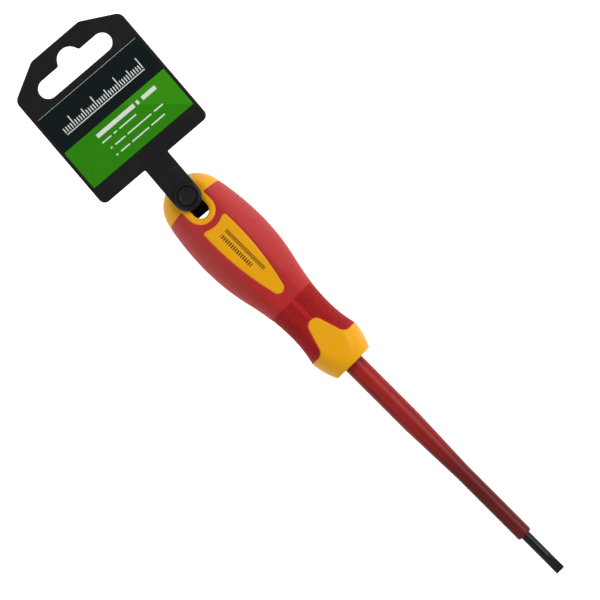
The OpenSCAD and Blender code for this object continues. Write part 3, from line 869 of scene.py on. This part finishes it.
class SCREWDRIVER_OT_core(PieceOperator, Operator):
    """Builds the hard yellow core with its guard, window, slot ring and butt."""
    bl_idname = "screwdriver.core"
    bl_label = "Build Hard Core"

    def execute(self, context):
        handle, grip, *_ = self.sizes(context)
        form = HandleForm(handle, grip)
        rows = np.concatenate([
            np.linspace(form.start, -form.edge_length, 5)[:-1],
            np.linspace(-form.edge_length, 0, 6)[:-1],
            np.linspace(0, handle.waist_at, 48)[:-1],
            np.linspace(handle.waist_at, grip.window_front_at - 4 * MM, 14)[:-1],
            np.linspace(grip.window_front_at - 4 * MM, handle.slot_front_at - 6 * MM, 76)[:-1],
            np.linspace(handle.slot_front_at - 6 * MM, form.butt_start, 30)[:-1],
            np.linspace(form.butt_start, form.end, 44)])
        columns = np.linspace(0, 2 * math.pi, handle.columns, endpoint=False)
        u, turn = np.meshgrid(rows, columns, indexing="ij")
        u, turn, seam = moved_to_line(form.seam, u, turn, 2 * math.pi)
        u, turn, slot = moved_to_line(form.slot, u, turn, 2 * math.pi)
        seam = np.where(slot == 0, -1.0, seam)
        whole, split = cut_cells(cells(*u.shape, True)[:, ::-1], seam)
        whole, more = cut_cells(whole, slot)
        groups = [g[side_of(g, slot) > 0] for g in (whole, split, more)]
        inside = np.clip(-form.seam(u, turn), 0, None)
        at, across = form.plan(u, turn)
        groove = -0.16 * MM * (1 - np.clip(inside / (0.4 * MM), 0, 1)) ** 2
        sunk = -0.14 * MM * (form.window(at, across) < 0.3 * MM)
        crown = 0.14 * MM * np.sin(np.clip(slot / handle.ring_wall, 0, 1) * math.pi) * (1 - ease(at,
                                                                                                 76 * MM,
                                                                                                 79 * MM))
        mouth = -0.45 * MM * (1 - np.clip(slot / (0.7 * MM), 0, 1)) ** 2
        lift = np.where(seam > 0, -1.1 * MM, groove + sunk + crown + mouth)
        points = form.skin(u, turn, lift)
        shell = Shell()
        mark = np.clip(inside / MM, 0, 1).ravel()
        bore = np.stack([np.full(len(columns), 0.0), SLEEVE_RADIUS * np.sin(columns),
                         SLEEVE_RADIUS * np.cos(columns)], 1)
        shell.add(points, *groups, mark=mark)
        # painted shade: the slot's wall is marked 0, so it takes the dark orange colour of the lip
        shell.add(*self.slot_wall(points, slot), mark=0.0)
        deep = bore - np.array([3 * MM, 0, 0])
        shell.add(np.concatenate([bore, deep]), cells(2, len(columns), True))
        hub = np.concatenate([deep, [[-3 * MM, 0, 0]]])
        step = np.arange(len(columns))
        shell.add(hub, np.stack([step, np.full(len(step), len(step)), (step + 1) % len(step)], 1)[:, ::-1])
        shell.piece("hard_core", [hard_plastic(handle)], "handle", "yellow_plastic", ["handle_core"])
        return {"FINISHED"}

    @staticmethod
    def slot_wall(points, slot):
        """The slot's wall: its mouth's points in front and behind, put in order round the slot's middle and
        joined by straight lines."""
        points = points.reshape(-1, 3)
        mouth = points[slot.ravel() == 0]
        middle = (mouth[:, 0].max() + mouth[:, 0].min()) / 2
        loops = []
        for loop in (mouth[mouth[:, 2] > 0], mouth[mouth[:, 2] < 0]):
            loops.append(loop[np.argsort(np.arctan2(loop[:, 1], loop[:, 0] - middle))])
        if len(loops[0]) != len(loops[1]):
            raise RuntimeError("the slot's front and back mouths have different counts of points")
        share = np.linspace(0, 1, 12)[:, None, None]
        wall = loops[0] * (1 - share) + loops[1] * share
        return wall, cells(12, len(loops[0]), True)


class SCREWDRIVER_OT_grip(PieceOperator, Operator):
    """Builds the soft red grip with its square pads, smooth strip, side notches and rounded edges."""
    bl_idname = "screwdriver.grip"
    bl_label = "Build Soft Grip"
    NOTCHES = (38.4 * MM, 47.7 * MM, 58.1 * MM, 67.9 * MM)

    def execute(self, context):
        handle, grip, *_ = self.sizes(context)
        form = HandleForm(handle, grip)
        pads = int(round((grip.texture_end_at - GUARD_AT) / grip.pad_rows_length))
        first, last = GUARD_AT - handle.face_edge, grip.end_at - handle.face_edge
        middle = grip.texture_end_at - handle.face_edge
        close = np.concatenate([place - handle.face_edge + np.linspace(-1, 1,
                                                                       9) * MM for place in self.NOTCHES])
        coarse = np.linspace(middle, last + 0.2 * MM, 64)[1:]
        coarse = coarse[np.abs(coarse[:, None] - close).min(1) > 0.3 * MM]
        rows = np.concatenate([np.linspace(first, middle, 3 * pads + 1), np.sort(np.append(coarse, close))])
        columns = np.linspace(0, 2 * math.pi, 3 * grip.pads_round, endpoint=False)
        u, turn = np.meshgrid(rows, columns, indexing="ij")
        row = np.repeat(np.arange(len(rows))[:, None], len(columns), 1)
        column = np.repeat(np.arange(len(columns))[None], len(rows), 0)
        u, turn, seam = moved_to_line(form.seam, u, turn, 2 * math.pi)
        seam[0] = np.minimum(seam[0], 0)
        whole, split = cut_cells(cells(*u.shape, True)[:, ::-1], seam)
        groups = [g[side_of(g, seam) > 0] for g in (whole, split)]
        inside = np.clip(form.seam(u, turn), 0, None)
        at, across = form.plan(u, turn)
        edge = -0.14 * MM * (1 - np.clip(inside / (0.6 * MM), 0, 1)) ** 2
        textured = (at < grip.texture_end_at - 0.1 * MM) * ease(inside, 0.25 * MM, 0.6 * MM)
        textured = textured * ease(across, grip.strip_half_width, grip.strip_half_width + 0.15 * MM)
        groove = -grip.pad_depth * textured * ((row % 3 == 0) | (column % 3 == 0))
        strip = 0.1 * MM * (1 - ease(across, grip.strip_half_width - 0.2 * MM,
                                     grip.strip_half_width + 0.1 * MM))
        strip = strip * (at < grip.texture_end_at) * ease(inside, 0.1 * MM, 0.8 * MM)
        step = 0.06 * MM * ease(at, grip.texture_end_at - 0.05 * MM, grip.texture_end_at + 0.1 * MM)
        step = step * (1 - ease(at, grip.texture_end_at + 4 * MM, grip.texture_end_at + 12 * MM))
        lift = edge + groove + strip + step + self.notches(at, across, form)
        shell = Shell()
        outer, inner = form.skin(u, turn, lift), form.skin(u, turn, -grip.thickness)
        count = u.size
        rim = open_edges(*groups)
        walls = np.stack([rim[:, 1], rim[:, 0], rim[:, 0] + count, rim[:, 1] + count], 1)
        points = np.concatenate([outer.reshape(-1, 3), inner.reshape(-1, 3)])
        # painted shade: low numbers in the grooves and on the inner faces darken the rubber there
        open_to_light = (0.7 + 0.3 * np.clip(inside / (0.4 * MM), 0, 1)) * (1 + 0.9 * groove / grip.pad_depth)
        mark = np.concatenate([open_to_light.ravel(), np.full(count, 0.35)])
        shell.add(points, *groups, *[g[:, ::-1] + count for g in groups], walls, mark=mark)
        shell.piece("soft_grip", [soft_rubber(grip)], "handle", "red_soft_grip", ["grip_shell"])
        return {"FINISHED"}

    def notches(self, at, across, form):
        """Four shallow marks across each shoulder: a narrow dip with a raised lip on either side of it."""
        dip = 0
        for place in self.NOTCHES:
            width = form.radius(place)
            along = ((at - place) / (0.55 * MM)) ** 2
            beside = np.clip(1 - ((across / width - 0.80) / 0.15) ** 2, 0, 1)
            dip = dip - 0.32 * MM * (1 - along) * np.exp(-along) * np.sqrt(beside)
        return dip


class SCREWDRIVER_OT_sleeve(PieceOperator, Operator):
    """Builds the blade's insulating sleeve with its taper and rounded end."""
    bl_idname = "screwdriver.sleeve"
    bl_label = "Build Sleeve"

    def execute(self, context):
        blade = self.sizes(context)[2]
        end, bore = SLEEVE_HIGH.x, blade.bar_radius + 0.03 * MM
        taper_end = blade.thick_length + blade.taper_length
        outline = np.concatenate([
            np.column_stack([np.linspace(-2 * MM, blade.thick_length - MM, 60), np.full(60, SLEEVE_RADIUS)]),
            rounded_run((blade.thick_length - 2 * MM, SLEEVE_RADIUS, 0),
                        (blade.thick_length, SLEEVE_RADIUS, 12 * MM), (taper_end, blade.thin_radius, 0),
                        steps=6)[1:-1],
            np.column_stack([np.linspace(blade.thick_length + MM, taper_end - MM, 50),
                             np.interp(np.linspace(blade.thick_length + MM, taper_end - MM, 50),
                                       [blade.thick_length, taper_end], [SLEEVE_RADIUS, blade.thin_radius])]),
            np.column_stack([np.linspace(taper_end, end - 2 * blade.front_edge, 60),
                             np.full(60, blade.thin_radius)]),
            rounded_run((end - 2 * blade.front_edge, blade.thin_radius, 0),
                        (end, blade.thin_radius, blade.front_edge),
                        (end, bore, 0.12 * MM), (end - 3 * MM, bore, 0), steps=6)[1:],
            [[-2 * MM, bore]]])
        rings = turned(outline, 96, "x")
        # painted shade: the mark dips near the guard face, where the sleeve's colour goes almost black
        dark = 1 - 0.55 * np.exp(-((outline[:, 0] / (2.2 * MM)) ** 2))
        shell = Shell()
        points, faces = lofted(rings, joined_ends=True)
        shell.add(points, *faces, mark=np.repeat(dark, 96), closed=True)
        shell.piece("insulating_sleeve", [sleeve_plastic(blade)], "handle", "sleeve_plastic",
                    ["blade_sleeve"])
        return {"FINISHED"}


class SCREWDRIVER_OT_bar(PieceOperator, Operator):
    """Builds the steel bar with its ground tip."""
    bl_idname = "screwdriver.bar"
    bl_label = "Build Steel Bar"

    def execute(self, context):
        blade = self.sizes(context)[2]
        around = 160
        angle = np.linspace(0, 2 * math.pi, around, endpoint=False)
        starts = BLADE_LENGTH - blade.grind_length
        x = np.concatenate([np.linspace(SLEEVE_HIGH.x - 6 * MM, starts, 24)[:-1],
                            np.linspace(starts, BLADE_LENGTH - 0.15 * MM, 60), [BLADE_LENGTH]])
        share = np.clip((x - starts) / blade.grind_length, 0, 1)
        height = blade.bar_radius + (blade.tip_thickness / 2 - blade.bar_radius) * share
        radius = np.where(x > BLADE_LENGTH - 0.1 * MM, blade.bar_radius - 0.12 * MM, blade.bar_radius)
        height = np.where(x > BLADE_LENGTH - 0.1 * MM, height - 0.1 * MM, height)
        z = np.clip(radius[:, None] * np.cos(angle), -height[:, None], height[:, None])
        rings = np.stack([np.repeat(x[:, None], around, 1), radius[:, None] * np.sin(angle), z], -1)
        ground = np.abs(radius[:, None] * np.cos(angle)) >= height[:, None] - 1e-7
        points, faces = lofted(rings)
        shell = Shell()
        mark = np.concatenate([(ground * (share[:, None] > 0)).ravel().astype(float), [0.0, 1.0]])
        shell.add(points, *faces, mark=mark, closed=True)
        shell.piece("steel_bar", [black_steel(blade)], "handle", "black_steel", ["blade_bar"], sharp=12)
        return {"FINISHED"}


class SCREWDRIVER_OT_card(PieceOperator, Operator):
    """Builds the hanging card with its peg slot, front arm and boss."""
    bl_idname = "screwdriver.card"
    bl_label = "Build Hanging Card"

    def execute(self, context):
        hanger = self.sizes(context)[3]
        arm_z, boss_top = CARD_LOW.z, CARD_HIGH.z
        top = arm_z + hanger.card_thickness
        edge = 0.35 * MM

        def field(x, y):
            """Card and arm joined, less the peg slot and the place of the boss."""
            corners = [(hanger.card_near, -hanger.card_half_width),
                       (hanger.card_far - hanger.card_chamfer, -hanger.card_half_width),
                       (hanger.card_far, -hanger.card_top_half_width),
                       (hanger.card_far, hanger.card_top_half_width),
                       (hanger.card_far - hanger.card_chamfer, hanger.card_half_width),
                       (hanger.card_near, hanger.card_half_width)]
            card = np.where(x < hanger.peg_at - 10 * MM, rounded_outline(x, y, corners, hanger.card_corner),
                            rounded_outline(x, y, corners, 1.4 * hanger.card_corner))
            arm = stadium(x, y, (0, 0), (hanger.card_near + MM, 0), hanger.arm_radius)
            long_hole = stadium(x, y, (hanger.peg_at, -hanger.peg_half_length),
                                (hanger.peg_at, hanger.peg_half_length), hanger.peg_half_height)
            notch = disc(x, y, hanger.peg_at + hanger.notch_rise, 0, hanger.notch_radius)
            peg = joined(long_hole, notch, 0.9 * MM)
            boss = disc(x, y, 0, 0, hanger.boss_radius - 0.85 * MM)
            return np.maximum(np.maximum(joined(card, arm, 0.5 * MM), -peg), -boss)

        near, wide = hanger.arm_radius + 0.4 * MM, hanger.card_half_width + 0.5 * MM
        middle = np.linspace(-near, near, 61)
        side = np.linspace(near, wide, 44)[1:]
        points, faces = plate(field, np.append(middle,
                                               np.linspace(near, hanger.card_far + 0.5 * MM, 152)[1:]),
                              np.concatenate([-side[::-1], middle, side]), arm_z, top, edge)
        shell = Shell()
        shell.add(on_hanger(points, hanger.tilt), *faces)
        seat = PIN_HIGH.z - hanger.button_thickness - 0.05 * MM
        outline = rounded_run((arm_z + 0.01 * MM, hanger.boss_radius - 0.6 * MM, 0),
                              (top - 0.2 * MM, hanger.boss_radius - 0.6 * MM, 0),
                              (top - 0.02 * MM, hanger.boss_radius + 0.12 * MM, 0.05 * MM),
                              (boss_top, hanger.boss_radius - 0.02 * MM, 0.45 * MM),
                              (boss_top, hanger.recess_radius, 0.22 * MM),
                              (seat, hanger.recess_radius, 0.1 * MM), (seat, hanger.hole_radius, 0.12 * MM),
                              (arm_z + 0.01 * MM, hanger.hole_radius, 0.1 * MM))
        points, faces = lofted(turned(outline, 96, "z"), joined_ends=True)
        shell.add(on_hanger(points, hanger.tilt), *faces, closed=True)
        shell.piece("hanging_card", [black_plastic(hanger)], "hanger", "black_plastic", ["hanger_card"])
        return {"FINISHED"}


class SCREWDRIVER_OT_strap(PieceOperator, Operator):
    """Builds the rear arm, bent up at the fold to meet the card."""
    bl_idname = "screwdriver.strap"
    bl_label = "Build Rear Arm"

    def execute(self, context):
        hanger = self.sizes(context)[3]
        low, high = STRAP_LOW.z, STRAP_HIGH.z
        thickness = hanger.strap_thickness
        middle = low + thickness / 2
        bend = thickness / 2 + 0.02 * MM
        straight = hanger.fold_at + thickness / 2 - bend
        rise = high - middle - bend
        total = straight + bend * math.pi / 2 + rise

        def field(x, y):
            """A long plate with small corners, less the place of the snap seat."""
            body = np.maximum(np.maximum(-hanger.strap_end - x, x - total), np.abs(y) - hanger.arm_radius)
            corner = common(np.abs(y) - hanger.arm_radius, -hanger.strap_end - x, 0.35 * MM)
            seat = disc(x, y, 0, 0, hanger.recess_radius + 0.35 * MM)
            return np.maximum(np.maximum(body, corner), -seat)

        wide = hanger.arm_radius + 0.4 * MM
        points, faces = plate(field, np.linspace(-hanger.strap_end - 0.4 * MM, total + 0.4 * MM, 110),
                              np.linspace(-wide, wide, 45), -thickness / 2, thickness / 2, 0.2 * MM)
        along, across, over = points.T
        turn = np.clip((along - straight) / bend, 0, math.pi / 2)
        past = np.maximum(along - straight - bend * math.pi / 2, 0)
        reach = np.minimum(along, straight) + (bend - over) * np.sin(turn)
        height = middle + bend - (bend - over) * np.cos(turn) + past
        shell = Shell()
        shell.add(on_hanger(np.stack([reach, across, height], 1), hanger.tilt), *faces)
        seat = PIN_LOW.z + 0.5 * MM + 0.05 * MM
        outer = hanger.recess_radius + 0.5 * MM
        outline = rounded_run((low, outer, 0), (low, hanger.recess_radius, 0.2 * MM),
                              (seat, hanger.recess_radius, 0.1 * MM), (seat, hanger.hole_radius, 0.1 * MM),
                              (low + thickness, hanger.hole_radius, 0.15 * MM), (low + thickness, outer, 0))
        points, faces = lofted(turned(outline, 80, "z"), joined_ends=True)
        shell.add(on_hanger(points, hanger.tilt), *faces, closed=True)
        shell.piece("rear_arm", [black_plastic(hanger)], "hanger", "black_plastic", ["hanger_strap"])
        return {"FINISHED"}


class SCREWDRIVER_OT_pin(PieceOperator, Operator):
    """Builds the snap pin: a dished button, a round shaft and two sprung legs."""
    bl_idname = "screwdriver.pin"
    bl_label = "Build Snap Pin"

    def execute(self, context):
        hanger = self.sizes(context)[3]
        foot, top = PIN_LOW.z, PIN_HIGH.z
        slit_top = foot + hanger.slit_length
        shell = Shell()
        head = top - hanger.button_thickness
        outline = rounded_run((slit_top - 0.2 * MM, 0.01 * MM, 0),
                              (slit_top - 0.2 * MM, hanger.shaft_radius, 0.05 * MM),
                              (head, hanger.shaft_radius, 0.1 * MM), (head, hanger.button_radius, 0.1 * MM),
                              (top, hanger.button_radius, 0.3 * MM), (top, 2.4 * MM, 0.6 * MM),
                              (top - 0.12 * MM, 1.9 * MM, 0.6 * MM), (top - 0.14 * MM, 0.01 * MM, 0))
        points, faces = lofted(turned(outline, 96, "z", (-PIN_AT, 0, 0)))
        shell.add(points, *faces, closed=True)
        for side in (-1, 1):
            points, faces = lofted(self.leg(hanger, foot, slit_top, side))
            shell.add(points, *faces, closed=True)
        shell.piece("snap_pin_button", [black_plastic(hanger)], "pin", "black_plastic", ["snap_pin"])
        return {"FINISHED"}

    @staticmethod
    def leg(hanger, foot, top, side):
        """Rings of one leg: a circle cut by the slit's flat, growing to the snap edge at the foot."""
        flare = rounded_run((foot, hanger.shaft_radius - 0.1 * MM, 0),
                            (foot + 0.02 * MM, hanger.shaft_radius, 0),
                            (foot + 0.5 * MM, hanger.button_radius, 0.08 * MM),
                            (foot + 0.52 * MM, hanger.shaft_radius, 0.1 * MM), (top, hanger.shaft_radius, 0))
        heights, radii = flare.T
        half = hanger.slit_width / 2
        start = np.arcsin(half / radii)[:, None]
        share = np.linspace(0, 1, 33)
        angle = start + share * (math.pi - 2 * start)
        arc = np.stack([radii[:, None] * np.cos(angle), radii[:, None] * np.sin(angle)], -1)
        chord_share = np.linspace(0, 1, 12)[1:-1, None]
        chord = arc[:, -1:] + chord_share * (arc[:, :1] - arc[:, -1:])
        plan = np.concatenate([arc, chord], 1) * np.array([1, side])
        level = np.repeat(heights[:, None, None], plan.shape[1], 1)
        return np.concatenate([plan, level], -1) + np.array([-PIN_AT, 0, 0])


class SCREWDRIVER_OT_labels(PieceOperator, Operator):
    """Builds the printed front label with its two fields, its scale and bars, and the plain back label."""
    bl_idname = "screwdriver.labels"
    bl_label = "Build Labels"

    def execute(self, context):
        hanger, label = self.sizes(context)[3:5]
        near = hanger.card_near + label.inset
        far = near + label.label_length
        base = CARD_LOW.z + hanger.card_thickness
        shell = Shell()
        self.sheet(shell, hanger, label.corner, (near, far), (-label.half_width, label.half_width), base,
                   label.thickness, 0)
        layer = base + label.thickness
        self.sheet(shell, hanger, label.corner, (near, label.split_at),
                   (-label.half_width, label.half_width), layer - 0.03 * MM,
                   0.05 * MM, 1)
        self.corner(shell, hanger, label, near, layer + 0.02 * MM)
        self.print_marks(shell, hanger, label, near, far, layer)
        finishes = [print_finish("Label dark field", label.dark),
                    print_finish("Label green field", label.green),
                    print_finish("Label light green", label.leaf),
                    print_finish("Label ink", label.ink)]
        shell.piece("printed_front_label", finishes, "hanger", "printed_label", ["front_label"])
        back = Shell()
        start = near + (label.label_length - label.back_length) / 2
        self.sheet(back, hanger, label.corner, (start, start + label.back_length),
                   (-label.back_half_width, label.back_half_width), CARD_LOW.z - label.thickness,
                   label.thickness, 0)
        for k in range(5):
            at = start + (4 + 4 * k) * MM
            self.sheet(back, hanger, label.corner, (at, at + 0.5 * MM), (-14 * MM, (14 - 3 * (k % 3)) * MM),
                       CARD_LOW.z - label.thickness - 0.02 * MM, 0.04 * MM, 1)
        finishes = [print_finish("Back label paper", label.paper, 0.6),
                    print_finish("Back label rules", label.dark, 0.6)]
        back.piece("plain_back_label", finishes, "hanger", "plain_label", ["back_label"])
        return {"FINISHED"}

    @staticmethod
    def sheet(shell, hanger, corner, along, across, bottom, thickness, tint):
        """A thin rectangle with small corners, laid flat: its outline is carried up in rings whose sides lie
        a little further in at the top and the bottom."""
        corner = min(corner, 0.45 * min(along[1] - along[0], across[1] - across[0]))
        rings = []
        for inset, share in ((0.3, 0), (0, 0.3), (0, 0.7), (0.3, 1)):
            inset = inset * thickness
            (x0, x1), (y0, y1) = np.array(along) + (inset, -inset), np.array(across) + (inset, -inset)
            ring = rounded_run((x0, y0, corner), (x1, y0, corner), (x1, y1, corner), (x0, y1, corner))
            rings.append(np.column_stack([ring, np.full(len(ring), bottom + share * thickness)]))
        points, faces = lofted(rings)
        shell.add(on_hanger(points, hanger.tilt), *faces, tint=tint, closed=True)

    def corner(self, shell, hanger, label, near, level):
        """The lighter three-cornered field at one end of the green one."""
        edge = label.half_width
        rings = []
        for z in (level - 0.03 * MM, level + 0.01 * MM):
            rings.append([[near, -edge, z], [label.split_at, -edge, z], [label.split_at, -edge + 19 * MM, z]])
        points, faces = lofted(rings)
        shell.add(on_hanger(points, hanger.tilt), *faces, tint=2, closed=True)

    def print_marks(self, shell, hanger, label, near, far, layer):
        """A plain scale with a tick for each millimetre in the dark field, and plain bars in the green one."""
        base = layer - 0.01 * MM
        for k in range(35):
            tall = (4.4 if k % 10 == 0 else 3.2 if k % 5 == 0 else 2.0) * MM
            at = (-17 + k) * MM
            start = label.split_at + 4.6 * MM
            self.sheet(shell, hanger, label.corner, (start, start + tall), (at - 0.2 * MM, at + 0.2 * MM),
                       base, 0.05 * MM, 3)
        start = label.split_at + 3.9 * MM
        self.sheet(shell, hanger, label.corner, (start, start + 0.35 * MM), (-17.2 * MM, 17.2 * MM), base,
                   0.05 * MM, 3)
        rows = ((11.9, 1.5, ((-10, 6.5), (7.5, 8.5), (10, 16))),
                (9.6, 0.5, ((-10, -6), (-5, -3.5), (-2.5, 5))),
                (6.4, 0.5, ((-9, -8.2), (-7, -2.5), (-1.5, 9), (10.2, 14.2))),
                (3.4, 0.5, ((-9, -8.2), (-7, -3), (-2, 5.5), (6.5, 12.5))))
        for place, width, bars in rows:
            at = near + place * MM
            for begin, end in bars:
                self.sheet(shell, hanger, 0.15 * MM, (at, at + width * MM), (-end * MM, -begin * MM),
                           base + 0.02 * MM, 0.05 * MM, 3)
        wide = label.half_width - 0.4 * MM
        self.sheet(shell, hanger, label.corner, (far - 0.22 * MM, far - 0.12 * MM), (-wide, wide), base,
                   0.03 * MM, 3)


class SCREWDRIVER_OT_stage(PieceOperator, Operator):
    """Builds the pale floor, the soft lights and the camera."""
    bl_idname = "screwdriver.stage"
    bl_label = "Build Stage"

    def execute(self, context):
        stage = self.sizes(context)[5]
        level = CAD_BOX[0].z - stage.floor_drop
        x, y = np.meshgrid(np.linspace(-6, 6, 25), np.linspace(-6, 6, 25), indexing="ij")
        rise = 0.02 * np.clip(np.hypot(x, y) - 3, 0, None) ** 2
        mesh = bpy.data.meshes.new("pale_floor")
        mesh.from_pydata(np.stack([x, y, level + rise], -1).reshape(-1, 3).tolist(), [],
                         cells(25, 25, False).tolist())
        mesh.shade_smooth()
        mesh.materials.append(floor_finish())
        floor = bpy.data.objects.new("pale_floor", mesh)
        context.scene.collection.objects.link(floor)
        self.light(context, "Key softbox", (0.15, 0.7, 0.75), 0.6, 8.2, (1.0, 0.985, 0.96))
        self.light(context, "Side softbox", (-0.7, -0.25, 0.85), 0.7, 2.8, (1.0, 1.0, 1.0))
        self.light(context, "Fill softbox", (0.25, -0.8, 0.65), 0.8, 2.5, (0.96, 0.98, 1.0))
        world = bpy.data.worlds.new("White surround")
        world.use_nodes = True
        world.node_tree.nodes["Background"].inputs["Color"].default_value = (1.0, 1.0, 1.0, 1.0)
        world.node_tree.nodes["Background"].inputs["Strength"].default_value = 0.11
        context.scene.world = world
        context.scene.view_settings.view_transform = "Standard"
        self.camera(context, stage)
        return {"FINISHED"}

    @staticmethod
    def light(context, name, place, size, power, tone):
        """A square soft light that looks at the middle of the tool."""
        data = bpy.data.lights.new(name, "AREA")
        data.size, data.energy, data.color = size, power, tone
        made = bpy.data.objects.new(name, data)
        made.location = place
        made.rotation_mode = "QUATERNION"
        made.rotation_quaternion = (Vector((-0.03, 0, 0)) - Vector(place)).to_track_quat("-Z", "Y")
        context.scene.collection.objects.link(made)

    @staticmethod
    def camera(context, stage):
        """A long lens straight above, turned so that the blade points down to the right."""
        data = bpy.data.cameras.new("Camera")
        data.lens, data.sensor_width = stage.lens, 36.0
        distance = stage.view_width / 2 * stage.lens / (data.sensor_width / 2)
        data.clip_start, data.clip_end = 0.05, 50.0
        made = bpy.data.objects.new("Camera", data)
        made.matrix_world = (Matrix.Translation((stage.centre_x, stage.centre_y, distance))
                             @ Matrix.Rotation(math.radians(45), 4, "Z"))
        context.scene.collection.objects.link(made)
        context.scene.camera = made


class ToolSettings(PropertyGroup):
    """All the settings of one screwdriver."""
    handle: PointerProperty(type=HandleSettings)
    grip: PointerProperty(type=GripSettings)
    blade: PointerProperty(type=BladeSettings)
    hanger: PointerProperty(type=HangerSettings)
    label: PointerProperty(type=LabelSettings)
    stage: PointerProperty(type=StageSettings)


PIECES = (SCREWDRIVER_OT_core, SCREWDRIVER_OT_grip, SCREWDRIVER_OT_sleeve, SCREWDRIVER_OT_bar,
          SCREWDRIVER_OT_card, SCREWDRIVER_OT_strap, SCREWDRIVER_OT_pin, SCREWDRIVER_OT_labels,
          SCREWDRIVER_OT_stage)


class SCREWDRIVER_PT_panel(Panel):
    """Lists the pieces and their settings in the sidebar."""
    bl_idname = "SCREWDRIVER_PT_panel"
    bl_label = "Insulated Screwdriver"
    bl_space_type = "VIEW_3D"
    bl_region_type = "UI"
    bl_category = "Screwdriver"

    def draw(self, context):
        tool = context.scene.insulated_screwdriver
        for piece in PIECES:
            self.layout.operator(piece.bl_idname)
        for name in ("handle", "grip", "blade", "hanger", "label", "stage"):
            group = getattr(tool, name)
            box = self.layout.box()
            box.label(text=name.capitalize())
            for prop in group.bl_rna.properties:
                if prop.identifier not in ("rna_type", "name"):
                    box.prop(group, prop.identifier)


CLASSES = (HandleSettings, GripSettings, BladeSettings, HangerSettings, LabelSettings, StageSettings,
           ToolSettings, *PIECES, SCREWDRIVER_PT_panel)


def register():
    """Adds the settings, operators and panel."""
    for made in CLASSES:
        bpy.utils.register_class(made)
    bpy.types.Scene.insulated_screwdriver = PointerProperty(type=ToolSettings)


def unregister():
    """Removes them again."""
    del bpy.types.Scene.insulated_screwdriver
    for made in reversed(CLASSES):
        bpy.utils.unregister_class(made)


def main():
    """Builds every piece and the stage."""
    register()
    for piece in PIECES:
        group, name = piece.bl_idname.split(".")
        getattr(getattr(bpy.ops, group), name)()


if __name__ == "__main__":
    main()
